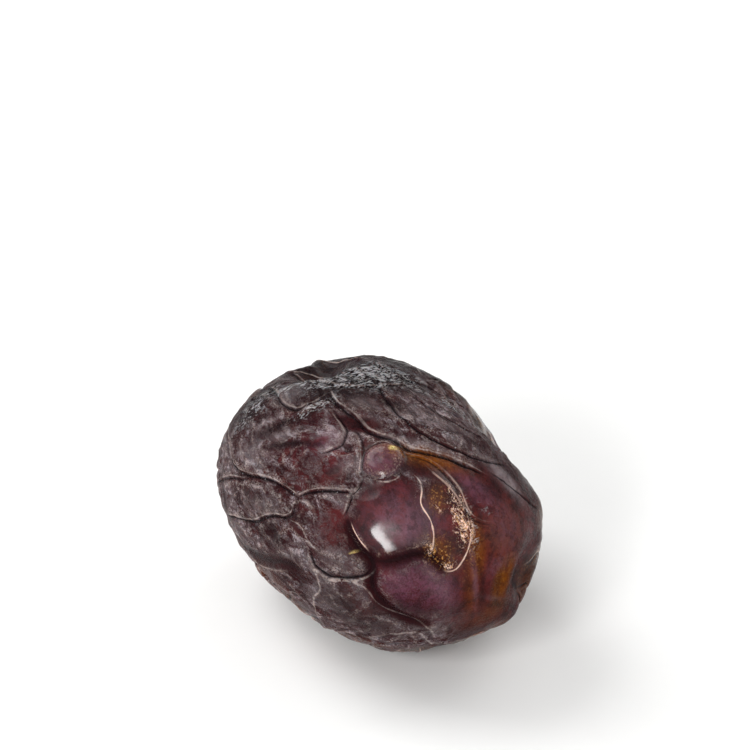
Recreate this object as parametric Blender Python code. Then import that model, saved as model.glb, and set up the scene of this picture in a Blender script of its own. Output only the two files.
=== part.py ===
"""A whole dried date, modelled as the fruit grew: one closed body of skin and flesh, lying on its side.

The length lies along X, with the stem end at -X and the blossom end at +X, and +Z is up. The fruit rests on a
small flat spot in the plane z = 0, and the origin is in that plane, under the middle of the fruit.
Lengths below are in millimetres and become metres when the mesh is written.
"""

import bmesh
import bpy
import numpy as np

MM = 0.001

# Driving dimensions of the plump form under the folds
HALF_LENGTH = 20.3
HALF_WIDTH = 14.4
HALF_HEIGHT = 12.9
ROUNDNESS = 2.4
TAPER = -0.022
FLAT_SINK = 0.65
FLAT_EASE = 0.2
FLAT_CALM = 1.4
MIDDLE_X, MIDDLE_Y = 0.06, -0.06

# Stem scar: a shallow cup with a puckered ring round it
SCAR_RADIUS, SCAR_DEPTH = 2.2, 1.1
RING_RADIUS, RING_WIDTH, RING_HEIGHT = 3.2, 0.7, 0.35
RING_PUCKERS = 5

# Mesh: cells along each edge of the cube that the round form is drawn from, the share of its faces kept,
# and the height up to which a vertex belongs to the flat spot
CELLS = 72
KEPT_SHARE = 0.185
ON_FLAT = 0.03
PATH_STEP = 0.3

# The near side is laid out as seen from one standpoint, which looks at the fruit's middle
SEEN_AZIMUTH, SEEN_ELEVATION = 60.5, 30.5
EYE_DISTANCE = 320.0

# Fold sections: width of the left wall and of the right wall, height of the rim on the left and on the right
# as a share of the depth, and how far the rims reach
SECTIONS = {
    "flap": (0.16, 0.75, 0.75, 0.05, 1.7),
    "crease": (0.26, 0.30, 0.35, 0.25, 1.1),
    "hair": (0.14, 0.16, 0.45, 0.3, 0.6),
    "valley": (0.75, 0.75, 0.25, 0.25, 2.0),
    "ridge": (0.30, 0.30, 0.0, 0.0, 0.9),
    "wire": (0.15, 0.15, 0.0, 0.0, 0.6),
    "brow": (0.20, 1.3, 0.0, 0.0, 1.2),
}
FOLD_BOTTOM = 0.14
LONGEST_FADE = 3.0
CROWDING = 0.35

# Folds of the near side: section, depth (a ridge's is negative), and the places that the fold runs through,
# across and up from the fruit's middle in the plane of the view
FOLDS = {
    "flap_edge": ("flap", 0.55, [(-15.6, 8.8), (-15.8, 6), (-15.3, 4), (-14.8, 3.3), (-14, 2.9),
        (-11, 2.1), (-8.3, 0.3)]),
    "flap_root": ("hair", 0.28, [(-17.1, 1.8), (-16, 2.4), (-15.3, 2.5), (-14.1, 2.3), (-13.4, 2.5)]),
    "plate_low_edge": ("flap", 0.5, [(-8.9, 0.2), (-7.8, 0.8), (-4, 1.1), (-3, 0.9), (-2.4, 0.4)]),
    "facet_upper_left": ("crease", 0.42, [(-3.9, -1.9), (-2.6, 0.9), (-1.7, 2.2), (-1.5, 2.9)]),
    "plate_right_edge": ("flap", 0.3, [(-1.9, 2.2), (-1.6, 5.5), (-2.2, 7.3), (-2.9, 8.1)]),
    "short_wire": ("wire", -0.14, [(-4.6, 4.7), (-2.2, 5.2)]),
    "purple_plate_edge": ("flap", 0.36, [(-6.6, 5), (-4.9, 5.4), (-4, 6.1), (-3.5, 7.2), (-4.9, 9.9)]),
    "blob_groove": ("crease", 0.7, [(-11.9, 12.3), (-10.7, 11.2), (-10.2, 10.3), (-9.5, 9.9), (-8.5, 9.8),
        (-7.5, 10.1), (-5, 11.5)]),
    "crown_groove": ("crease", 0.6, [(-9.6, 14.1), (-8, 13.8), (-3.8, 12.15), (-2, 12.05), (1.5, 12.3),
        (2.8, 12.2), (3.6, 11.8)]),
    "crown_branch": ("crease", 0.34, [(-0.6, 15), (0.3, 14), (2.5, 12.9), (3.2, 12.3)]),
    "long_valley": ("flap", 0.62, [(-5.4, 11.8), (-5, 11), (-4.3, 10.3), (-2.6, 9.2), (-1.2, 7.6),
        (0, 6.95), (1, 6.75), (3, 5.6), (7, 4.7), (11.4, 2.6)]),
    "second_groove": ("flap", 0.52, [(-0.3, 13.2), (0.1, 11.9), (2.5, 8.9), (4.2, 7.4), (10.9, 4.3),
        (13.6, 3.8)]),
    "soft_groove": ("crease", 0.24, [(2.4, 12), (3.8, 11.2), (4.2, 10.6), (5, 10.2), (7.5, 8)]),
    "short_flap": ("flap", 0.32, [(5.6, 10.1), (6.3, 9.4), (11.5, 6.2)]),
    "rim_groove": ("crease", 0.36, [(2, 13.5), (2.8, 12.9), (4, 12.7), (8.7, 10.1), (12, 6)]),
    "right_flap": ("flap", 0.34, [(11.2, 3.3), (16, -0.2), (16.7, -1)]),
    "purple_strip": ("flap", 0.34, [(1.7, 5.6), (2.5, 5.1), (5.1, 4.3), (8, 1.7), (10, -1.8), (11, -2.3),
        (12.2, -2.4)]),
    "strip_ridge": ("ridge", -0.26, [(5, 3.8), (7.8, 0.3), (9.3, -1.2), (9.9, -2.4), (9.9, -3.6)]),
    "facet_right_wire": ("wire", -0.34, [(3.4, 3.1), (4.2, 2.3), (4.5, 1.3), (4.4, -0.3), (5.5, -2.2),
        (5.75, -3.2), (5.75, -4.2), (5.4, -5.6)]),
    "amber_wire": ("wire", -0.34, [(10, -2.9), (8.5, -6.5), (8, -7), (7.3, -7.2), (6.5, -7)]),
    "pink_ridge": ("ridge", -0.32, [(-3.1, -1.9), (-2.7, -2.8), (-1, -5.3)]),
    "facet_foot": ("valley", 0.62, [(-1.4, -5.6), (0.3, -6.2), (1.5, -6.1), (4, -5.4), (5, -5.4),
        (6.2, -6.2), (7.4, -7.9)]),
    "red_valley": ("valley", 0.72, [(-3.8, -1), (-2.1, -4.7), (-0.8, -6.1), (-0.5, -7), (-0.7, -8),
        (-0.4, -9.2), (0.2, -10), (6, -13)]),
    "left_plate_foot": ("flap", 0.46, [(-16.6, -0.2), (-16, -1.2), (-15, -1.7), (-13, -2.1), (-11, -1.5),
        (-9.6, -1.6), (-9.1, -1.3), (-8.6, 0.1)]),
    "curl": ("ridge", -0.22, [(-8.4, 0.3), (-7.3, -0.2), (-6.8, -0.8), (-6.7, -1.8)]),
    "mid_ridge": ("ridge", -0.26, [(-9.6, -1.8), (-8, -2.7), (-7.7, -3.4), (-6.1, -5.4)]),
    "fringe_wire_a": ("wire", -0.22, [(-9.3, -4.7), (-8.9, -6), (-8, -7.1)]),
    "fringe_wire_b": ("wire", -0.2, [(-7.5, -5), (-7.1, -6.8)]),
    "left_hollow": ("valley", 0.4, [(-14.6, -4.2), (-13.4, -5.4), (-11.6, -6.2), (-10.2, -6.4),
        (-7.6, -7.3)]),
    "tongue_foot": ("flap", 0.5, [(-0.4, -6.6), (-1.3, -7.55), (-2, -7.75), (-6, -7.25), (-6.5, -6.9),
        (-6.95, -6.2), (-7.2, -4.4)]),
    "low_plate_left": ("ridge", -0.26, [(-7.8, -6.3), (-7, -6.9), (-5.9, -8.8), (-6.7, -10),
        (-6.7, -10.7), (-6, -12.3), (-5.2, -13.3)]),
    "low_plate_brow": ("brow", -0.26, [(5.9, -14.4), (5.4, -13.3), (4.5, -12.6), (0, -10.4), (-1.5, -8.7),
        (-3, -8.1), (-5.5, -7.9)]),
    "under_ridge_left": ("ridge", -0.26, [(-9.4, -10), (-6, -12.9), (-2.4, -14), (-1.1, -14.8)]),
    "under_ridge_right": ("ridge", -0.22, [(-1.6, -14.1), (1.5, -13.6), (4, -13.6), (5.5, -14.8),
        (7.5, -14.9), (9.5, -14.6)]),
    "left_fringe_a": ("ridge", -0.22, [(-14.5, -4.6), (-12.5, -6.5), (-11.3, -7), (-9.8, -7.3)]),
    "left_fringe_b": ("ridge", -0.24, [(-13.6, -6.3), (-12.5, -7.1), (-7.8, -9.7)]),
    "left_fringe_c": ("ridge", -0.24, [(-15.8, -2.2), (-14.1, -4.4), (-13.8, -5.2)]),
    "left_fringe_d": ("ridge", -0.22, [(-12.2, -7.6), (-10.8, -8.8), (-8.6, -10.2)]),
    "apex_band": ("ridge", -0.2, [(9.4, -4.8), (9.8, -7.4), (9.7, -9.4), (10.1, -11), (11, -12.6)]),
    "apex_flap": ("flap", 0.34, [(9.7, -8.4), (12.8, -11.5)]),
    "apex_lobe": ("ridge", -0.24, [(11, -9.2), (11.2, -7), (11.9, -6.1), (13, -5.5), (14.5, -5.1),
        (15.8, -5)]),
    "apex_edge": ("crease", 0.36, [(16.5, -4.3), (15.2, -7), (15.2, -9.5), (14.9, -10.9)]),
}

# Swells and hollows of the near side: place across and up, radius along and across, turn in degrees, height,
# and how squarely the edge falls
BUMPS = {
    "dome": (0.45, 4.3, 1.95, 1.95, 0, 0.75, 5),
    "purple_pad": (4.1, -9, 4, 2.9, -25, 0.9, 3),
    "tongue": (-3.8, -6.25, 3, 1.15, -8, 0.4, 3),
    "low_plate": (-2.6, -10.9, 3.9, 2.5, -15, 0.5, 2.5),
    "facet": (1.3, -1.8, 3.7, 3.6, 0, 0.6, 3),
    "left_plate": (-12.4, 0.3, 3.8, 1.7, -8, 0.35, 2.5),
    "crown_pad": (-8.4, 11.9, 2.6, 1.5, 10, 0.55, 2),
    "crown_ridge": (-6.9, 9.9, 1.5, 0.55, 28, 0.45, 2),
    "blue_hollow": (-8.3, -8.5, 1.3, 1.1, 0, -0.3, 2),
    "left_pit": (-11.3, -3.3, 0.8, 0.7, 0, -0.5, 2),
    "notch": (-3.3, 5.9, 0.6, 0.8, 0, -0.5, 2),
    "dark_hollow": (-3, 8.5, 1.1, 2.2, 35, -0.6, 2),
    "amber_hollow": (13, -8.3, 0.9, 1.7, -10, -0.5, 2),
    "pitted_hollow": (7.6, -2.6, 1.8, 3.2, -5, -0.45, 3),
    "middle_hollow": (-4.8, -1.4, 2.2, 1.7, 0, -0.4, 2.5),
    "middle_swell": (-5, -3.8, 1.6, 1.3, 0, 0.25, 2),
    "purple_plate": (-10.6, 5.4, 4.4, 2.6, -5, 0.35, 2.5),
    "left_swell": (-9.5, -4.6, 1.8, 1.2, -20, 0.25, 2),
    "purple_strip_swell": (11, 0.6, 2.6, 1.1, -42, 0.25, 2),
    "upper_strip_swell": (9, 5.9, 4, 1.3, -38, 0.15, 2),
    "end_swell": (13.2, -2.9, 2.4, 1.7, 0, 0.2, 2),
    "flat_shoulder": (13.9, 6.2, 5.5, 3, -40, -1.5, 2),
    "crown_slope": (-6.4, 14.6, 2.6, 3, 20, -2.2, 2),
    "low_end": (13.6, -11.8, 2, 2.5, 0, 0.8, 2),
    "end_slope": (15.9, -7.6, 3, 2.2, 60, -1.6, 2),
    "left_cheek": (-16.9, 3.5, 3, 3, 0, 0.2, 2),
    "crown": (2, 15.3, 4, 3, 0, 0.3, 2),
    "right_cheek": (17.2, 0, 2.5, 2.5, 0, 0.5, 2),
    "shoulder": (8, 11.8, 4, 3, -40, 0.5, 2),
    "left_crown": (-11, 14, 4, 3, 20, -0.3, 2),
    "underside": (9, -14.8, 5, 3, 0, -0.5, 2),
}

# Folds of the far sides and the underside, drawn by rule
SEED = 22
LANES, LANE_REACH, LANE_WANDER = 18, 0.93, 0.055
LANE_LENGTH, LANE_DEPTH = (9, 19), (0.28, 0.62)
BRANCHES, BRANCH_LENGTH, BRANCH_DEPTH = 40, (2.5, 6), (0.2, 0.45)
FAR_SWELLS, SWELL_HEIGHT = 26, (-0.55, 0.5)
SWELL_LENGTH, SWELL_WIDTH, SWELL_EDGE = (3, 6), (1.6, 3), 2.5
FAR_SECTIONS = ("flap", "flap", "crease", "ridge", "flap", "crease")
BRANCH_SECTIONS = ("crease", "hair", "ridge", "flap")
RIDGE_SHARE = -0.6
MOST_SEEN = 0.2
SHORTEST_RUN = 7


def view_axes():
    """Right, up and back of the standpoint: back points from the fruit to the eye."""
    turn, lift = np.radians([SEEN_AZIMUTH, SEEN_ELEVATION])
    back = np.array([np.sin(turn) * np.cos(lift), -np.cos(turn) * np.cos(lift), np.sin(lift)])
    right = np.array([np.cos(turn), np.sin(turn), 0.0])
    return right, np.cross(back, right), back


def form_value(points):
    """1 on the plump form and less inside it, with its girth tapered along x.

    The value is |x/a|^n + (|y/b|^2 + |z/c|^2)^(n/2), to the power 1/n.
    """
    x, y, z = points[..., 0], points[..., 1], points[..., 2]
    girth = 1 + TAPER * x / HALF_LENGTH
    across = np.hypot(y / (HALF_WIDTH * girth), z / (HALF_HEIGHT * girth))
    return (np.abs(x / HALF_LENGTH) ** ROUNDNESS + across**ROUNDNESS) ** (1 / ROUNDNESS)


def on_form(points):
    """The points drawn towards or away from the middle until they lie on the plump form."""
    for _ in range(5):
        points = points / form_value(points)[..., None]
    return points


def form_normal(points):
    """Unit normal of the plump form: its value's gradient, by central differences."""
    step = 1e-3
    slopes = [form_value(points + step * axis) - form_value(points - step * axis) for axis in np.eye(3)]
    normal = np.stack(slopes, -1)
    return normal / np.linalg.norm(normal, axis=-1, keepdims=True)


def seen_at(places):
    """Points of the plump form that the eye sees at the places of the view's plane: halving along each ray.

    A ray that passes the fruit by gives the point of the form nearest to it.
    """
    right, up, back = view_axes()
    places = np.asarray(places, float)
    eye = EYE_DISTANCE * back
    rays = places[:, :1] * right + places[:, 1:] * up - eye
    rays /= np.linalg.norm(rays, axis=1, keepdims=True)
    depths = EYE_DISTANCE + np.linspace(-1.5, 1.5, 241) * HALF_LENGTH
    deepest = depths[form_value(eye + depths[None, :, None] * rays[:, None]).argmin(1)]
    outside, inside = np.full(len(rays), EYE_DISTANCE - 2 * HALF_LENGTH), deepest
    for _ in range(40):
        middle = (outside + inside) / 2
        within = form_value(eye + middle[:, None] * rays) < 1
        inside = np.where(within, middle, inside)
        outside = np.where(within, outside, middle)
    return on_form(eye + inside[:, None] * rays)


def smooth_path(points):
    """Even steps along a cubic curve through the points, by running length, laid on the plump form.

    The tangent at a point is the mean of the slopes on its two sides, each weighed by the other's length.
    """
    legs = np.linalg.norm(np.diff(points, axis=0), axis=1)
    run = np.r_[0, np.cumsum(legs)]
    slopes = np.diff(points, axis=0) / legs[:, None]
    inner = slopes[:-1] * legs[1:, None] + slopes[1:] * legs[:-1, None]
    tangents = np.vstack([slopes[:1], inner / (legs[:-1] + legs[1:])[:, None], slopes[-1:]])
    at = np.linspace(0, run[-1], max(int(run[-1] / PATH_STEP), 3) + 1)
    leg = np.clip(np.searchsorted(run, at, side="right") - 1, 0, len(legs) - 1)
    t = ((at - run[leg]) / legs[leg])[:, None]
    size = legs[leg][:, None]
    curve = (1 + 2 * t) * (1 - t) ** 2 * points[leg] + t * (1 - t) ** 2 * size * tangents[leg]
    curve = curve + t**2 * (3 - 2 * t) * points[leg + 1] + t**2 * (t - 1) * size * tangents[leg + 1]
    return on_form(curve)


def beside(path, points, reach):
    """The points within reach of a path: which, how far to its left, the share of its length, and left."""
    low, high = path.min(0) - reach, path.max(0) + reach
    near = np.flatnonzero(((points > low) & (points < high)).all(1))
    starts, legs = path[:-1], np.diff(path, axis=0)
    away = points[near][:, None] - starts
    share = np.clip((away * legs).sum(2) / (legs**2).sum(1), 0, 1)
    away -= share[..., None] * legs
    leg = (away**2).sum(2).argmin(1)
    row = np.arange(len(near))
    away, share = away[row, leg], share[row, leg]
    left = np.cross(form_normal(starts)[leg], legs[leg])
    left /= np.linalg.norm(left, axis=1, keepdims=True)
    side = np.sign((away * left).sum(1)) * np.linalg.norm(away, axis=1)
    close = np.abs(side) < reach
    return near[close], side[close], ((leg + share) / len(legs))[close], left[close]


def path_length(path):
    return np.linalg.norm(np.diff(path, axis=0), axis=1).sum()


def faded_ends(share, length, fade):
    """1 along a fold's middle, eased to 0 over the fade's length at each end."""
    ramp = np.clip(np.minimum(share, 1 - share) * length / fade, 0, 1)
    return ramp * ramp * (3 - 2 * ramp)


def fold_section(side, depth, section):
    """Height across a fold: a V whose walls rise exponentially to a rim, which fades as a bell curve."""
    wall_left, wall_right, rim_left, rim_right, reach = SECTIONS[section]
    wall = np.where(side > 0, wall_left, wall_right)
    rim = np.where(side > 0, rim_left, rim_right)
    out = np.sqrt(side**2 + FOLD_BOTTOM**2) - FOLD_BOTTOM
    fall = np.exp(-out / wall)
    return depth * (rim * (1 - fall) * np.exp(-((out / reach) ** 2)) - fall)


def facing(points):
    """Cosine between the plump form's normal and the way to the eye: 1 head on, 0 at the outline."""
    to_eye = EYE_DISTANCE * view_axes()[2] - points
    to_eye /= np.linalg.norm(to_eye, axis=-1, keepdims=True)
    return (form_normal(points) * to_eye).sum(-1)


def longest_run(wanted):
    """Start and end of the longest unbroken stretch of true values."""
    edges = np.flatnonzero(np.diff(np.r_[0, wanted.astype(int), 0]))
    starts, stops = edges[::2], edges[1::2]
    if not len(starts):
        return 0, 0
    best = (stops - starts).argmax()
    return starts[best], stops[best]


def lane_paths(rng):
    """Long folds that wander along the fruit, end to end in lanes round it."""
    for lane in range(LANES):
        turn = 2 * np.pi * (lane + rng.uniform(-0.25, 0.25)) / LANES
        x = -LANE_REACH * HALF_LENGTH + rng.uniform(0, 3)
        while x < 0.8 * HALF_LENGTH:
            length = rng.uniform(*LANE_LENGTH)
            along = np.linspace(x, min(x + length, LANE_REACH * HALF_LENGTH), 9)
            sway = 0.12 * np.sin(rng.uniform(0, 2 * np.pi) + along * rng.uniform(0.25, 0.5))
            angle = turn + np.cumsum(rng.normal(0, LANE_WANDER, len(along))) + sway
            girth = np.sqrt(1 - (along / HALF_LENGTH) ** 2)
            points = np.stack(
                [along, HALF_WIDTH * girth * np.cos(angle), HALF_HEIGHT * girth * np.sin(angle)], 1
            )
            path = smooth_path(on_form(points))
            section = FAR_SECTIONS[rng.integers(len(FAR_SECTIONS))]
            depth = rng.uniform(*LANE_DEPTH)
            yield section, depth, path[::-1] if rng.random() < 0.5 else path
            x += length * rng.uniform(0.72, 1.02)


def branch_paths(rng):
    """Short bowed folds that cross between the long ones, at any place of the skin."""
    for _ in range(BRANCHES):
        start = on_form(rng.normal(size=3) * [0.8, 1, 1])
        normal = form_normal(start)
        across = np.cross([1.0, 0, 0], normal)
        across /= np.linalg.norm(across)
        way = across + rng.uniform(-0.9, 0.9) * np.cross(normal, across)
        t = np.linspace(-0.5, 0.5, 6)[:, None]
        bow = rng.normal(0, 0.32) * (4 * t**2 - 1)
        points = start + rng.uniform(*BRANCH_LENGTH) * way * t + bow * np.cross(normal, way)
        section = BRANCH_SECTIONS[rng.integers(len(BRANCH_SECTIONS))]
        yield section, rng.uniform(*BRANCH_DEPTH), smooth_path(on_form(points))


def far_folds():
    """The seeded folds, each cut to its longest stretch that the near view doesn't show."""
    rng = np.random.default_rng(SEED)
    folds = []
    for section, depth, path in [*lane_paths(rng), *branch_paths(rng)]:
        start, stop = longest_run(facing(path) < MOST_SEEN)
        if stop - start >= SHORTEST_RUN:
            depth = depth * RIDGE_SHARE if section == "ridge" else depth
            folds.append((section, depth, path[start:stop]))
    return folds


def near_folds():
    """The folds listed above, laid on the plump form."""
    return [(section, depth, smooth_path(seen_at(places))) for section, depth, places in FOLDS.values()]


def crowded(points, folds):
    """The points drawn sideways towards the folds, so that the mesh is finest in them."""
    move = np.zeros_like(points)
    for section, _, path in folds:
        width = 0.5 + sum(SECTIONS[section][:2]) / 2
        near, side, share, left = beside(path, points, 3 * width)
        pull = CROWDING * side * np.exp(-((side / width) ** 2)) * faded_ends(share, path_length(path), 1.5)
        move[near] -= pull[:, None] * left
    return on_form(points + move)


def fold_height(points, folds):
    """The heights of all the folds' sections, added up."""
    height = np.zeros(len(points))
    for section, depth, path in folds:
        wall_left, wall_right, _, _, reach = SECTIONS[section]
        near, side, share, _ = beside(path, points, max(2.5 * reach, 6 * wall_left, 6 * wall_right))
        length = path_length(path)
        fade = faded_ends(share, length, min(LONGEST_FADE, 0.4 * length))
        height[near] += fade * fold_section(side, depth, section)
    return height


def bump(points, centre, way, long_radius, short_radius, size, squareness):
    """One swell or hollow: its height halves at the radius, 2^-(distance / radius)^squareness."""
    normal = form_normal(centre)
    way = way - way @ normal * normal
    way /= np.linalg.norm(way)
    away = points - centre
    inwards = away @ normal / (0.6 * (long_radius + short_radius))
    along, across = away @ way / long_radius, away @ np.cross(normal, way) / short_radius
    return size * 2.0 ** -((along**2 + across**2 + inwards**2) ** (squareness / 2))


def bump_height(points):
    """The listed swells and hollows of the near side, and seeded ones where the near view doesn't reach."""
    right, up, _ = view_axes()
    height = np.zeros(len(points))
    for across, rise, long_radius, short_radius, turn, size, squareness in BUMPS.values():
        centre = seen_at([(across, rise)])[0]
        way = np.cos(np.radians(turn)) * right + np.sin(np.radians(turn)) * up
        height += bump(points, centre, way, long_radius, short_radius, size, squareness)
    rng = np.random.default_rng(SEED + 1)
    for _ in range(FAR_SWELLS):
        centre = on_form(rng.normal(size=3) * [1.4, 1, 1])
        way = np.array([1.0, *rng.uniform(-0.5, 0.5, 2)])
        long_radius, short_radius = rng.uniform(*SWELL_LENGTH), rng.uniform(*SWELL_WIDTH)
        size = rng.uniform(*SWELL_HEIGHT)
        if facing(centre) < -long_radius / HALF_LENGTH:
            height += bump(points, centre, way, long_radius, short_radius, size, SWELL_EDGE)
    return height


def scar_height(points):
    """The cup at the stem end and the ring round it, whose height waves with the angle."""
    radius = np.hypot(points[:, 1], points[:, 2])
    angle = np.arctan2(points[:, 2], points[:, 1])
    cup = -SCAR_DEPTH * np.exp(-((radius / SCAR_RADIUS) ** 4))
    waves = 1 + RING_HEIGHT * np.sin(RING_PUCKERS * angle + 1)
    ring = RING_HEIGHT * np.exp(-(((radius - RING_RADIUS) / RING_WIDTH) ** 2)) * waves
    return np.where(points[:, 0] < 0, cup + ring, 0.0)


def calmed(points):
    """0 over the flat spot, so that no fold runs through it, eased to 1 at the calm height above it."""
    rise = np.clip((points[:, 2] + HALF_HEIGHT - FLAT_SINK) / FLAT_CALM, 0, 1)
    return rise * rise * (3 - 2 * rise)


def rested(points):
    """The body on its flat spot: heights under the spot's plane are cut to it, eased in by a parabola."""
    rise = points[:, 2] + HALF_HEIGHT - FLAT_SINK
    eased = np.clip(rise + FLAT_EASE, 0, None) ** 2 / (4 * FLAT_EASE)
    height = np.where(rise < FLAT_EASE, eased, rise)
    return np.stack([points[:, 0] - MIDDLE_X, points[:, 1] - MIDDLE_Y, height], 1)


def skin_points(points):
    """Points of the finished skin for points anywhere out along the same lines from the middle."""
    folds = near_folds() + far_folds()
    points = crowded(on_form(points), folds)
    height = bump_height(points) + fold_height(points, folds) + scar_height(points)
    height *= calmed(points)
    return rested(points + height[:, None] * form_normal(points))


def skin_material():
    """Dark maroon skin with a dull bloom on it."""
    material = bpy.data.materials.new("date_skin")
    material.use_nodes = True
    shader = material.node_tree.nodes["Principled BSDF"]
    shader.inputs["Base Color"].default_value = (0.045, 0.018, 0.020, 1.0)
    shader.inputs["Roughness"].default_value = 0.38
    shader.inputs["Metallic"].default_value = 0.0
    return material


def raised_form():
    """A cube cut into cells, rounded to the plump form and then raised into folds."""
    form = bmesh.new()
    bmesh.ops.create_cube(form, size=2.0)
    bmesh.ops.subdivide_edges(form, edges=form.edges[:], cuts=CELLS - 1, use_grid_fill=True)
    cube = np.array([vertex.co[:] for vertex in form.verts])
    ball = np.tan(np.pi / 4 * cube)
    ball = ball / np.linalg.norm(ball, axis=1, keepdims=True)
    skin = skin_points(ball * [HALF_LENGTH, HALF_WIDTH, HALF_HEIGHT]) * MM
    for vertex, place in zip(form.verts, skin):
        vertex.co = place
    bmesh.ops.triangulate(form, faces=form.faces[:])
    bmesh.ops.recalc_face_normals(form, faces=form.faces[:])
    mesh = bpy.data.meshes.new("raised_form")
    form.to_mesh(mesh)
    form.free()
    return mesh


def make_date(collection):
    """The raised form with fewer, larger faces where its skin is smooth, and its flat spot made plane."""
    guide = bpy.data.objects.new("raised_form", raised_form())
    collection.objects.link(guide)
    thinning = guide.modifiers.new("fewer_faces", "DECIMATE")
    thinning.ratio = KEPT_SHARE
    shown = guide.evaluated_get(bpy.context.evaluated_depsgraph_get())
    mesh = bpy.data.meshes.new_from_object(shown)
    bpy.data.objects.remove(guide, do_unlink=True)
    mesh.name = "date"
    for vertex in mesh.vertices:
        if vertex.co.z < ON_FLAT * MM:
            vertex.co.z = 0.0
    mesh.shade_smooth()
    mesh.materials.append(skin_material())
    date = bpy.data.objects.new("date", mesh)
    collection.objects.link(date)
    return date


def main():
    for old in list(bpy.data.objects):
        bpy.data.objects.remove(old, do_unlink=True)
    collection = bpy.data.collections.new("date_fruit")
    bpy.context.scene.collection.children.link(collection)
    make_date(collection)


main()
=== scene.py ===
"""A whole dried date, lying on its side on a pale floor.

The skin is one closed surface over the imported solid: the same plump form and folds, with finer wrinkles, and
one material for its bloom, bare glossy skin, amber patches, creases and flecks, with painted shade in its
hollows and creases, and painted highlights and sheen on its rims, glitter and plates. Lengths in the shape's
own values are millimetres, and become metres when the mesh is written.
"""

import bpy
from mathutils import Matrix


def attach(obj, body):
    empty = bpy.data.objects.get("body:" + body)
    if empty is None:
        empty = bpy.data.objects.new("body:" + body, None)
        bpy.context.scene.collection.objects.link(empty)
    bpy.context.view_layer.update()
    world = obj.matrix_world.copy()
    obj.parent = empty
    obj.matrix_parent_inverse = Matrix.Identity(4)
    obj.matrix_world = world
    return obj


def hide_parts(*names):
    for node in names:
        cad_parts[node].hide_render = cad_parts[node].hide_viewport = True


bl_info = {
    "name": "Dried Date",
    "version": (1, 0, 0),
    "blender": (4, 5, 0),
    "location": "3D View > Sidebar > Dried Date",
    "description": "Builds the wrinkled skin of a whole dried date, with a pale floor, lights and a camera",
    "category": "Add Mesh",
}

from functools import partial, reduce

import bpy
import numpy as np
from mathutils import Quaternion, Vector

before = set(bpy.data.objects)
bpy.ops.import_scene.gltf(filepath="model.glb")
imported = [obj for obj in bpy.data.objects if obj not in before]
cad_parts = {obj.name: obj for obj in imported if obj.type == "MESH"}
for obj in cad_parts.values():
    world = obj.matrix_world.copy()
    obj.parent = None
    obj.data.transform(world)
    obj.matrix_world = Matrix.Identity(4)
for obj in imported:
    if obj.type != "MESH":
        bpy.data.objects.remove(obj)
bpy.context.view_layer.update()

MM = 0.001

# Driving dimensions of the plump form under the folds
HALF_LENGTH = 20.3
HALF_WIDTH = 14.4
HALF_HEIGHT = 12.9
ROUNDNESS = 2.4
TAPER = -0.022

# Flat spot: how much of the form it cuts away, the height that its edge is eased over, the height that the
# relief fades in over, and how far the frame's origin lies from the form's middle
FLAT_SINK = 0.65
FLAT_EASE = 0.2
FLAT_CALM = 1.4
MIDDLE_X, MIDDLE_Y = 0.06, -0.06

# Stem scar: a shallow cup with a puckered ring round it
SCAR_RADIUS, SCAR_DEPTH = 2.2, 1.1
RING_RADIUS, RING_WIDTH, RING_HEIGHT = 3.2, 0.7, 0.35
RING_PUCKERS = 5
FIBRES, FIBRE_HEIGHT, PLUG_RADIUS, PLUG_HEIGHT = 23, 0.07, 0.55, 0.45
FIBRE_SWAY, FIBRE_SWAYS, FIBRE_TWIST, FIBRE_BREAK = 1.5, 3, 2, 0.3
SCAR_MARK, SCAR_EDGE = 1.9, 6

# The near side is laid out as seen from one standpoint, which looks at the fruit's middle
SEEN_AZIMUTH, SEEN_ELEVATION = 60.5, 30.5
EYE_DISTANCE = 320.0

# How finely shapes are worked out: steps along a fold and along the outline, rounds that draw a point onto
# the form, the step of its slopes, and a ray's places and halvings
PATH_STEP = 0.3
OUTLINE_STEPS, FORM_ROUNDS, SLOPE_STEP = 2001, 5, 1e-3
RAY_PLACES, RAY_HALVINGS = 241, 40

# Fold sections: width of the left wall and of the right wall, height of the rim on the left and on the right
# as a share of the depth, how far the rims reach, and the share of a fold's depth that the skin keeps
SECTIONS = {
    "flap": (0.12, 0.26, 0.36, 0.06, 2.4, 0.60),
    "crease": (0.14, 0.16, 0.24, 0.16, 1.4, 0.50),
    "hair": (0.12, 0.14, 0.4, 0.3, 0.6, 0.50),
    "valley": (0.75, 0.75, 0.25, 0.25, 2.0, 0.80),
    "ridge": (0.20, 0.22, 0.0, 0.0, 0.9, 0.60),
    "wire": (0.10, 0.10, 0.0, 0.0, 0.6, 0.40),
    "brow": (0.18, 1.1, 0.0, 0.0, 1.2, 0.80),
    "seam": (0.10, 0.16, 0.12, 0.06, 1.6, 0.50),
    "soft": (0.65, 0.65, 0.0, 0.0, 1.5, 0.80),
}
FOLD_BOTTOM = 0.05
LONGEST_FADE, FADE_SHARE = 3.0, 0.4
CROWDING, CROWDING_FADE = 0.45, 1.5

# The camera's frame: its side in pixels, where the fruit's middle lies in it, pixels to the millimetre there,
# and the camera's sensor
FRAME_PX, FRUIT_PX, PX_PER_MM = 750, (379, 502), 9.5
SENSOR = 36.0

# Lines that the folds draw: how far their marks reach, how far beside its bottom a flap's crest lies, and the
# reach of a wide valley's mark; then their fade at the ends, and the depth from which they are drawn in full
LINE_REACH, CREST_STEP, VALLEY_REACH = 0.6, 0.3, 0.95
LINE_FADE, LINE_FADE_SHARE, FULL_LINE_DEPTH, FAINTEST_LINE = 1.5, 0.3, 0.4, 0.35

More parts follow.
